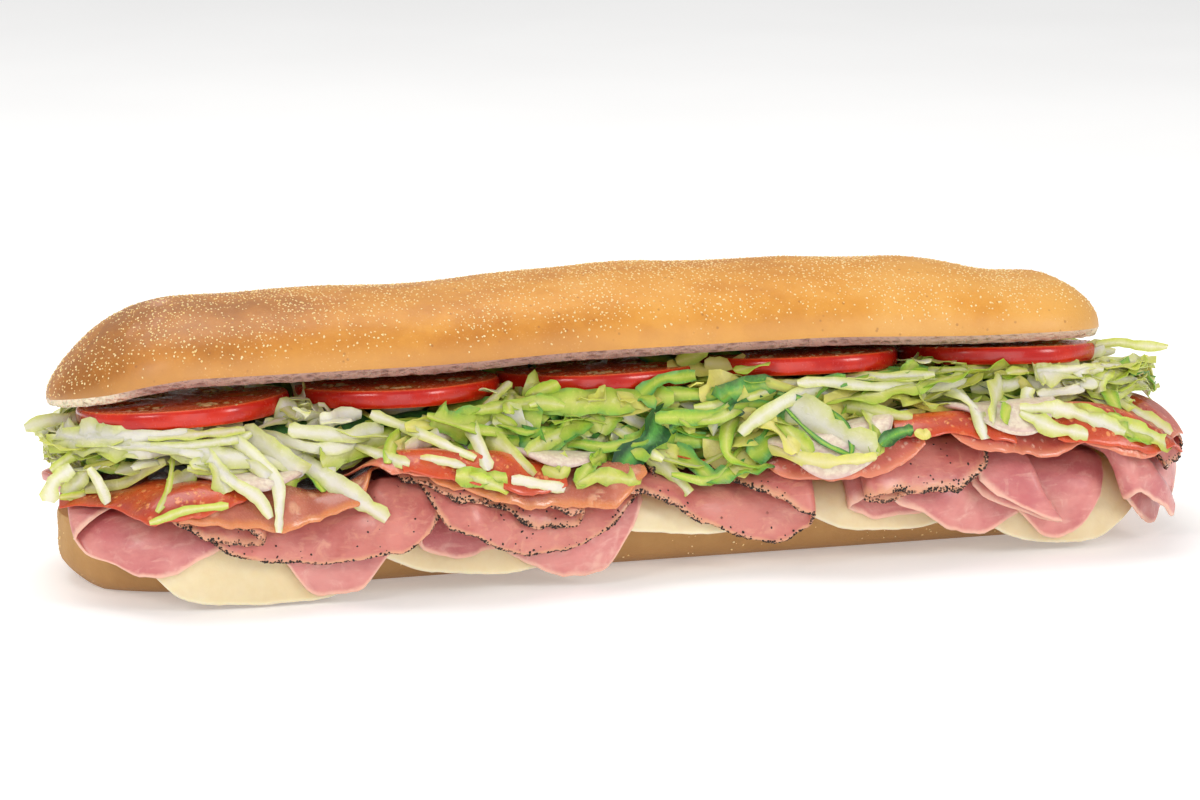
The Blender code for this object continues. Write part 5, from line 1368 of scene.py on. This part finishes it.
def shred_path(draw, kind):
    """Middle line of one shred: it lies in the heap and leans along its face."""
    length = draw.uniform(18, 44)
    steps = max(7, int(length / (3.4 if kind == "back" else 2.8)))
    step = length / steps
    level, last = draw.uniform(0, 1, 2)
    if kind == "face":
        x = draw.uniform(-150, 158)
        if x < -60 and draw.uniform() < 0.45:
            x = draw.uniform(-60, 158)
        y = -draw.uniform(31, 39)
        heading = draw.choice([0.0, math.pi]) + draw.normal(0, 0.22)
        last = level + draw.uniform(-0.9, 0.9)
    elif kind == "back":
        x = draw.uniform(-145, 150)
        y = draw.uniform(28, 40)
        heading = draw.choice([0.0, math.pi]) + draw.normal(0, 0.35)
        level, last = math.sqrt(level) * 1.1, math.sqrt(last) * 1.1
    elif kind == "between":
        x = draw.choice([-88.0, -29.0, 29.0, 89.0]) + draw.normal(0, 5.0)
        y = draw.uniform(-35, -18) if draw.uniform() < 0.6 else draw.uniform(0, 30)
        heading = draw.uniform(0, 2 * math.pi)
        length = draw.uniform(9, 16)
        step = length / steps
    else:
        way = draw.choice([-1.0, 1.0])
        x = draw.uniform(134, 156) * way
        y = draw.uniform(-34, 18)
        heading = (math.pi if way < 0 else 0.0) + draw.normal(0, 0.9)
        level, last = level * 0.8, last * 0.5
    bends = draw.normal(0, 0.045, 3)
    path = []
    for i in range(steps + 1):
        h = min(max(level + (last - level) * i / steps, 0.0), 1.0)
        reach = heap_reach(x, 47.0 - 8.5 * h)
        if kind == "end" and i > 3 and (abs(y) > reach or x > 166.0 or x < -151.0):
            break
        y = max(min(y, reach), -reach)
        x = max(min(x, SHRED_RIGHT), SHRED_LEFT)
        inside = max(min(y, 35.0), -35.0)
        base = float(max(smooth_floor(x, inside), smooth_floor(x, inside + 2.5),
                         smooth_floor(x, max(inside - 2.5, -HALF))))
        beyond = max(0.0, abs(y) - HALF)
        roof = roof_at(x, inside) - 0.4
        if kind == "between" and off_tomatoes(x, y) > 0.5:
            roof = bread_over(x, y) - 3.0
            h = 0.55 + 0.45 * h
        if kind == "back" and y > 24:
            roof = bread_over(x, y) - 2.0
        room = max(roof - base - 1.4, 0.3)
        path.append((x, y, CUT_Z + base + 0.7 + room * h - 0.040 * beyond ** 2))
        heading += (bends[0] + bends[1] * math.sin(i * 0.9) + bends[2] * math.cos(i * 0.5)) * step
        x += math.cos(heading) * step
        y += math.sin(heading) * step
    return softened(np.array(path)), step * (len(path) - 1)


def lettuce_shred(draw, kind):
    """One ribbon strewn in the heap, its size and tone by where it lies."""
    centre, length = shred_path(draw, kind)
    x = centre[0, 0]
    leafy = draw.uniform() < (0.25 if x < -40 else 0.42)
    wide = draw.uniform(4.5, 9.0) if leafy else draw.uniform(2.4, 4.6)
    tone = leaf_tone(x, draw) + (0.08 if leafy else -0.05)
    yellow = draw.uniform(0.5, 1.0) if 35 < x < 85 and draw.uniform() < 0.35 else 0.0
    if yellow == 0.0 and draw.uniform() < 0.08:
        yellow = draw.uniform(0.3, 0.9)
    lean = {"face": -0.9, "back": 0.9}.get(kind, 0.0)
    return leaf_ribbon(draw, centre, length, wide, leafy, tone, yellow, lean,
                       draw.normal(0.3, 0.4), draw.normal(0, 0.9 if leafy else 0.6))


def front_of(pieces):
    """A search tree over pieces already laid, in millimetres."""
    return BVHTree.FromPolygons(*joined(
        ([tuple(p) for p in places(made)[0]], [face.vertices for face in made.data.polygons])
        for made in pieces))


def laid_path(slices, shade_core, route):
    """A ribbon's middle line over the front of the food, from its x and heights."""
    route = np.array(route, float)
    gap = np.hypot(np.diff(route[:, 0]), np.diff(route[:, 1]))
    knots = np.concatenate([[0.0], np.cumsum(gap)])
    at = np.linspace(0, knots[-1], max(9, int(knots[-1] / 1.7)))
    spots = through(at, knots, route)
    depth = []
    for x, z in spots:
        near = 30.0
        for tree, off in ((slices, 0.9), (shade_core, 6.0)):
            hit = tree.ray_cast(Vector((x, -90.0, z)), Vector((0.0, 1.0, 0.0)))[0]
            if hit is not None:
                near = min(near, hit.y - off)
        depth.append(near if near < 29 else np.nan)
    depth = np.array(depth)
    known = ~np.isnan(depth)
    depth = np.interp(at, at[known], depth[known]) if known.any() else np.full(len(at), -24.0)
    for _ in range(40):
        depth[1:-1] = np.minimum(depth[1:-1], (depth[:-2] + depth[2:]) / 2 + 0.02)
    depth = softened(softened(depth))
    return np.stack([spots[:, 0], depth, spots[:, 1]], axis=1), knots[-1]


def leaf_ribbon(draw, centre, length, wide, leafy, tone, yellow, lean, tilt, curl):
    """Points, faces and tones of one curled ribbon of leaf."""
    steps = len(centre) - 1
    thick = draw.uniform(0.22, 0.32) if leafy else draw.uniform(0.26, 0.42)
    ripple = draw.uniform(0.5, 1.3) if leafy else draw.uniform(0.1, 0.4)
    ripple_size = draw.uniform(6.0, 12.0)
    run = unit(np.gradient(centre, axis=0))
    side = unit(np.cross(run, np.array([0.02, lean, 1.0 if lean > -1 else 0.35])))
    rise = np.cross(side, run)
    at = np.linspace(0, 1, steps + 1)
    turn = tilt + curl * (at - 0.5)
    across = side * np.cos(turn)[:, None] + rise * np.sin(turn)[:, None]
    normal = np.cross(across, run)
    taper = np.clip(np.minimum(at, 1 - at) * draw.uniform(6, 16) + 0.35, 0, 1) ** 0.5
    cup = draw.uniform(-0.45, 0.45)
    lanes = np.linspace(-1.0, 1.0, 7 if leafy and lean < 0 else 5)
    phase = draw.uniform(0, 6.3)
    jag = draw.uniform(0.12, 0.32) if leafy else 0.14
    points, tones, margins = [], [], []
    for i in range(steps + 1):
        w = wide * 0.5 * taper[i] * (1 + jag * math.sin(at[i] * length * 0.45 + phase)
                                     + jag * 0.5 * math.sin(at[i] * length * 1.9 + 2 * phase))
        top, low = [], []
        for lane in lanes:
            wave = ripple * abs(lane) ** 1.5 * math.sin(
                at[i] * length * 6.28 / ripple_size + phase + lane)
            body = centre[i] + across[i] * w * lane + normal[i] * (
                cup * w * lane * lane * 0.6 + wave)
            t = thick * 0.5 * (1.0 - 0.45 * lane * lane)
            top.append(body + normal[i] * t)
            low.append(body - normal[i] * t)
        points += top + low[::-1]
        ring_tone = [tone + 0.12 * (abs(v) - 0.5) * 2 for v in lanes]
        tones += ring_tone + ring_tone[::-1]
        margins += [abs(v) for v in lanes] + [abs(v) for v in lanes[::-1]]
    width = 2 * len(lanes)
    faces = grid_faces(steps + 1, width, wrap=True)
    faces.append(tuple(range(width - 1, -1, -1)))
    faces.append(tuple(steps * width + k for k in range(width)))
    return points, faces, tones, margins, [yellow] * len(points)


def lettuce_heap(finish, counts, seed, slices, shade_core):
    """All ribbons in one piece: strewn ones, and the ones laid as in the picture."""
    draw = np.random.default_rng(seed)
    shreds = [lettuce_shred(draw, kind) for kind, count in counts for _ in range(count)]
    for wide, tone, yellow, route in RIBBONS:
        centre, length = laid_path(slices, shade_core, route)
        shreds.append(leaf_ribbon(draw, centre, length, wide * 0.86, wide > 4.3, tone, yellow,
                                  -1.6, draw.normal(0.0, 0.3), draw.normal(0, 0.8)))
    points, faces = joined(shred[:2] for shred in shreds)
    tone, margin, yellow = ([v for shred in shreds for v in shred[k]] for k in (2, 3, 4))
    heap = piece("lettuce_shreds", points, faces, finish, "lettuce", ("lettuce",),
                 tone=tone, margin=margin, yellow=yellow)
    heap.data.set_sharp_from_angle(angle=math.radians(55))
    return heap


def strewing_tree():
    """Nodes that strew small grains over a surface and turn them into one mesh."""
    tree = bpy.data.node_groups.new("strewn_grains", "GeometryNodeTree")
    face = tree.interface
    face.new_socket("Surface", in_out="INPUT", socket_type="NodeSocketGeometry")
    for label, kind in (("Grains per square metre", "Float"), ("Smallest", "Float"),
                        ("Largest", "Float"), ("Flatness", "Float"), ("Seed", "Int"),
                        ("Finish", "Material"), ("Where", "String")):
        face.new_socket(label, in_out="INPUT", socket_type="NodeSocket" + kind)
    face.new_socket("Grains", in_out="OUTPUT", socket_type="NodeSocketGeometry")

    def add(kind, fixed=(), **settings):
        made = tree.nodes.new(kind)
        for key, value in settings.items():
            setattr(made, key, value)
        for key, value in dict(fixed).items():
            made.inputs[key].default_value = value
        return made

    given = add("NodeGroupInput")
    result = add("NodeGroupOutput")
    where = add("GeometryNodeInputNamedAttribute", data_type="FLOAT")
    density = add("ShaderNodeMath", operation="MULTIPLY")
    spread = add("GeometryNodeDistributePointsOnFaces")
    grain = add("GeometryNodeMeshIcoSphere", {"Radius": 0.5, "Subdivisions": 1})
    size = add("FunctionNodeRandomValue", data_type="FLOAT")
    form = add("FunctionNodeRandomValue", data_type="FLOAT_VECTOR")
    form.inputs[0].default_value = (0.65, 0.65, 0.65)
    form.inputs[1].default_value = (1.35, 1.0, 1.0)
    flat = add("ShaderNodeCombineXYZ", {0: 1.0, 1: 1.0})
    shaped = add("ShaderNodeVectorMath", operation="MULTIPLY")
    scaled = add("ShaderNodeVectorMath", operation="SCALE")
    turn = add("FunctionNodeRandomValue", data_type="FLOAT_VECTOR")
    turn.inputs[0].default_value = (-0.4, -0.4, 0.0)
    turn.inputs[1].default_value = (0.4, 0.4, 6.283)
    euler = add("FunctionNodeEulerToRotation")
    turned = add("FunctionNodeRotateRotation", rotation_space="LOCAL")
    put = add("GeometryNodeInstanceOnPoints")
    real = add("GeometryNodeRealizeInstances")
    painted = add("GeometryNodeSetMaterial")
    for maker, way_out, taker, way_in in (
            (given, "Where", where, "Name"),
            (given, "Grains per square metre", density, 0),
            (where, "Attribute", density, 1),
            (given, "Surface", spread, "Mesh"),
            (density, 0, spread, "Density"),
            (given, "Seed", spread, "Seed"),
            (given, "Smallest", size, 2),
            (given, "Largest", size, 3),
            (given, "Seed", size, "Seed"),
            (given, "Flatness", flat, 2),
            (form, 0, shaped, 0),
            (flat, 0, shaped, 1),
            (shaped, 0, scaled, 0),
            (size, 1, scaled, "Scale"),
            (turn, 0, euler, 0),
            (spread, "Rotation", turned, 0),
            (euler, 0, turned, 1),
            (spread, "Points", put, "Points"),
            (grain, "Mesh", put, "Instance"),
            (turned, 0, put, "Rotation"),
            (scaled, 0, put, "Scale"),
            (put, "Instances", real, "Geometry"),
            (real, "Geometry", painted, "Geometry"),
            (given, "Finish", painted, "Material"),
            (painted, "Geometry", result, "Grains")):
        tree.links.new(maker.outputs[way_out], taker.inputs[way_in])
    return tree


def strewn(name, host, where, finish, seed, density, sizes, flatness):
    """Grains over a piece: as many per square millimetre as its stored share says."""
    mesh = host.data.copy()
    obj = bpy.data.objects.new(name, mesh)
    bpy.context.scene.collection.objects.link(obj)
    layer = mesh.attributes.get("where") or mesh.attributes.new("where", "FLOAT", "POINT")
    layer.data.foreach_set("value", np.asarray(where, float))
    mod = obj.modifiers.new("strewn", "NODES")
    tree = bpy.data.node_groups.get("strewn_grains") or strewing_tree()
    mod.node_group = tree
    names = {s.name: s.identifier for s in tree.interface.items_tree if s.in_out == "INPUT"}
    values = {"Grains per square metre": density * 1e6, "Smallest": sizes[0] * MM,
              "Largest": sizes[1] * MM, "Flatness": flatness, "Seed": seed,
              "Finish": finish, "Where": "where"}
    for key, value in values.items():
        mod[names[key]] = value
    finished = obj.evaluated_get(bpy.context.evaluated_depsgraph_get())
    baked = bpy.data.meshes.new_from_object(finished)
    obj.modifiers.clear()
    obj.data = baked
    bpy.data.meshes.remove(mesh)
    return settle(obj, finish)


def places(obj):
    """A piece's points and normals, points in millimetres."""
    count = len(obj.data.vertices)
    spots = np.empty(count * 3)
    obj.data.vertices.foreach_get("co", spots)
    normals = np.empty(count * 3)
    obj.data.vertices.foreach_get("normal", normals)
    return spots.reshape(-1, 3) / MM, normals.reshape(-1, 3)


def patchy(spots, size, seed, low, high):
    """Clouds between 0 and 1 for spreading grains unevenly."""
    shift = Vector((seed * 3.1, seed * 1.7, seed * 2.3))
    cloud = np.array([noise.noise(Vector(p) / size + shift) for p in spots])
    return np.clip((cloud - low) / (high - low), 0, 1)


def onion_heights(columns, heights):
    """Height of an onion's middle over the cut, softly between its columns."""
    columns = np.asarray(columns, float)

    def surface(x, y):
        i = np.interp(x, columns, np.arange(len(columns)))
        i0 = np.clip(i.astype(int), 0, len(columns) - 2)
        return between_four(heights, i0, i - i0, y)
    return surface


def lay_onions(finish):
    laid = []
    for number, (cx, cy, radius, rim_z) in enumerate(ONIONS, 1):
        under = resting(floor)
        columns = [cx - radius + 0.4] + [x for x in XS if abs(x - cx) < radius - 1.9]
        columns += [cx + radius - 0.4]
        px = np.array([[x] * len(YS) for x in columns])
        ph = np.array([levelled([x] * len(YS), np.array([
            max(np.interp(x + a, XS, under[:, k]) for a in near_line(x))
            + GAP + ONION_T / 2 * PRESSED[k]
            for k in range(len(YS))])) for x in columns])
        fronts, backs, lowest = [], [], []
        for x, h in zip(px, ph):
            z = world(x, YS, h)[:, 2]
            half = math.sqrt(max(radius ** 2 - (x[0] - cx) ** 2, 4.0))
            kf = float(np.interp(half - cy, -YS, np.arange(len(YS))))
            stop = len(YS) - 1.0
            for k in range(FRONT, len(YS) - 1):
                if z[k] >= rim_z > z[k + 1]:
                    stop = k + (z[k] - rim_z) / (z[k] - z[k + 1])
                    break
            fronts.append(min(kf, stop))
            backs.append(float(np.interp(-(cy + half), -YS, np.arange(len(YS)))))
            lowest.append(float(np.interp(stop, np.arange(len(YS)), YS)))
        def limit(x, columns=columns, lowest=lowest):
            return float(np.interp(x, columns, lowest))
        laid.append(onion_disc(number, cx, cy, radius, limit, onion_heights(columns, ph), finish))
        cover(px, ph + ONION_T / 2 * PRESSED, fronts, backs)
    return laid


def lay_slices(finishes, pepper):
    frays = {"cheese": 0.25, "ham": 0.5, "pepper_ham": 0.45, "capicola": 0.35,
             "salami": 0.3, "pepperoni": 0.3}
    laid = []
    for name, slot, thick, slack, legs in SLICES:
        back_drop = 1.5 + 2.0 * abs(math.sin(len(name) * 2.3 + legs[0][0]))
        cx, ch, rims = lay(thick, slack, legs, back_drop)
        fronts, backs = limits(cx, ch, rims, back_drop)
        made = draped_slice(name + "_slice", finishes[slot], slot, thick, cx, ch,
                            fronts, backs, frays[slot])
        laid.append(made)
        if slot == "pepper_ham":
            spots, _ = places(made)
            rim = np.empty(len(spots))
            made.data.attributes["rim"].data.foreach_get("value", rim)
            band = np.clip((0.55 - rim) / 0.3, 0, 1) * patchy(spots, 3.4, 5, -0.12, 0.2)
            band[spots[:, 1] > -20] = 0
            band = band + 0.004 * (spots[:, 1] < -30)
            strewn(name + "_pepper", made, band, pepper,
                   len(name) + int(legs[0][0]) + 300, 4.6, (0.36, 0.95), 0.6)
    return laid


def dust_with_cornmeal(upper, lower, meal):
    spots, normals = places(upper)
    rise = np.empty(len(spots))
    upper.data.attributes["rise"].data.foreach_get("value", rise)
    cloud = patchy(spots, 16, 2, -0.35, 0.25) * 0.75 + 0.25
    streak = patchy(spots * np.array([0.35, 1, 1]), 9, 8, -0.1, 0.4) * 0.5
    where = (cloud + streak) * np.clip((rise - 0.10) / 0.22, 0, 1)
    where *= np.clip((normals[:, 2] + 0.65) / 0.5, 0, 1)
    strewn("cornmeal_on_top", upper, where, meal, 5, 0.42, (0.38, 0.82), 0.8)
    spots, normals = places(lower)
    where = patchy(spots, 12, 3, -0.1, 0.4) * (abs(normals[:, 2]) < 0.75)
    where *= (spots[:, 2] < 19) & (spots[:, 2] > 0.8)
    strewn("cornmeal_below", lower, where, meal, 9, 0.16, (0.4, 0.8), 0.8)


def aimed(obj, spot, way):
    """Put a lamp or the camera at a spot, looking one way."""
    turn = way.to_track_quat("-Z", "Y").to_matrix().to_4x4()
    obj.matrix_world = Matrix.Translation(spot) @ turn
    bpy.context.scene.collection.objects.link(obj)


def studio():
    """Pale floor, soft light and the camera of the picture."""
    size = 3.0
    corners = [(-size, -size, 0), (size, -size, 0), (size, size, 0), (-size, size, 0)]
    mesh = bpy.data.meshes.new("floor")
    mesh.from_pydata(corners, [], [(0, 1, 2, 3)])
    ground = bpy.data.objects.new("floor", mesh)
    bpy.context.scene.collection.objects.link(ground)
    mesh.materials.append(floor_finish())
    world_light = bpy.data.worlds.new("soft_room")
    world_light.use_nodes = True
    sky = world_light.node_tree.nodes["Background"]
    sky.inputs[0].default_value = (1.0, 1.0, 1.0, 1.0)
    sky.inputs[1].default_value = 0.44
    bpy.context.scene.world = world_light
    # name, place, what it is turned to, width, watts, tint
    lamps = [("softbox_over", (-0.15, 0.25, 1.1), (0, 0, 0), 0.9, 7.5, (1.0, 0.98, 0.95)),
             ("softbox_left", (-1.0, -0.75, 0.75), (-0.05, 0, 0.03), 0.4, 4.5, (1.0, 0.98, 0.95)),
             ("softbox_right", (0.8, -0.9, 0.55), (0.05, 0, 0.03), 0.4, 5.0, (1.0, 0.98, 0.96)),
             ("low_fill", (-0.25, -1.2, 0.30), (0, 0, 0.03), 0.7, 2.6, (1.0, 1.0, 1.0))]
    for name, spot, aim, width, power, tint in lamps:
        data = bpy.data.lights.new(name, "AREA")
        data.shape = "SQUARE"
        data.size = width
        data.energy = power
        data.color = tint
        aimed(bpy.data.objects.new(name, data), Vector(spot), Vector(aim) - Vector(spot))
    azimuth, elevation, distance = math.radians(-17.0), math.radians(12.0), 1.40
    back = Vector((math.sin(azimuth) * math.cos(elevation),
                   -math.cos(azimuth) * math.cos(elevation), math.sin(elevation)))
    data = bpy.data.cameras.new("camera")
    data.lens = 149.94
    data.sensor_width = 36.0
    data.shift_x = 0.0108
    data.shift_y = 0.0308
    data.clip_start = 0.05
    camera = bpy.data.objects.new("camera", data)
    aimed(camera, Vector((0.0, 0.0, 0.031)) + back * distance, -back)
    bpy.context.scene.camera = camera
    bpy.context.scene.view_settings.view_transform = "Standard"


def sandwich():
    finishes = {
        "cheese": cheese_finish(),
        "ham": ham_finish("plain_ham", (0.69, 0.28, 0.25), (0.54, 0.15, 0.155), (0.80, 0.47, 0.38),
                          (0.86, 0.53, 0.40), 1.6, False, 0.32),
        "pepper_ham": ham_finish("peppered_ham", (0.62, 0.22, 0.18), (0.46, 0.11, 0.095),
                                 (0.74, 0.36, 0.24), (0.70, 0.36, 0.21), 1.4, True, 0.32),
        "capicola": sausage_finish("capicola", (0.54, 0.18, 0.11), (0.42, 0.11, 0.065),
                                   (0.68, 0.34, 0.21), 5.0, 0.42, (0.70, 0.25, 0.07), 0.16),
        "salami": sausage_finish("salami", (0.60, 0.145, 0.105), (0.46, 0.075, 0.055),
                                 (0.80, 0.44, 0.34), 1.9, 0.44, (0.72, 0.24, 0.12), 0.24),
        "pepperoni": sausage_finish("pepperoni", (0.60, 0.085, 0.018), (0.42, 0.035, 0.010),
                                    (0.80, 0.30, 0.09), 2.0, 0.45, (0.60, 0.07, 0.012), 0.20),
    }
    meal = grain_finish("cornmeal", (0.90, 0.72, 0.40), (0.84, 0.58, 0.24), 0.55)
    pepper = grain_finish("black_pepper", (0.030, 0.018, 0.012), (0.012, 0.008, 0.006), 0.6)
    seed_finish = grain_finish("tomato_seed", (0.84, 0.62, 0.30), (0.74, 0.44, 0.16), 0.25)
    herb = grain_finish("dried_herb", (0.66, 0.50, 0.22), (0.42, 0.30, 0.10), 0.7)
    below = lower_bun(lower_crust())
    laid = lay_slices(finishes, pepper) + lay_onions(onion_finish())
    leaf = lettuce_finish()
    shade_core = front_of([lettuce_shade_core(leaf)])
    lettuce_heap(leaf, [("face", 250), ("end", 34), ("back", 240), ("between", 100)], 4,
                 front_of(laid), shade_core)
    flesh = tomato_finish()
    draw = np.random.default_rng(21)
    seeds = []
    for index, data in enumerate(TOMATOES, 1):
        made, turn, cz, pockets = tomato_slice(index, data, flesh)
        spots, normals = places(made)
        where = (normals[:, 2] > 0.8) * patchy(spots, 7, index, -0.25, 0.3)
        strewn(f"herbs_{index}", made, where, herb, 40 + index, 0.05, (0.5, 1.3), 0.35)
        seeds.append(tomato_seeds(index, data, turn, cz, pockets, draw))
    piece("tomato_seeds", *joined(seeds), seed_finish, "tomato")
    above = upper_bun(upper_crust(), bread_crumb())
    dust_with_cornmeal(above, below, meal)


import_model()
sandwich()
studio()
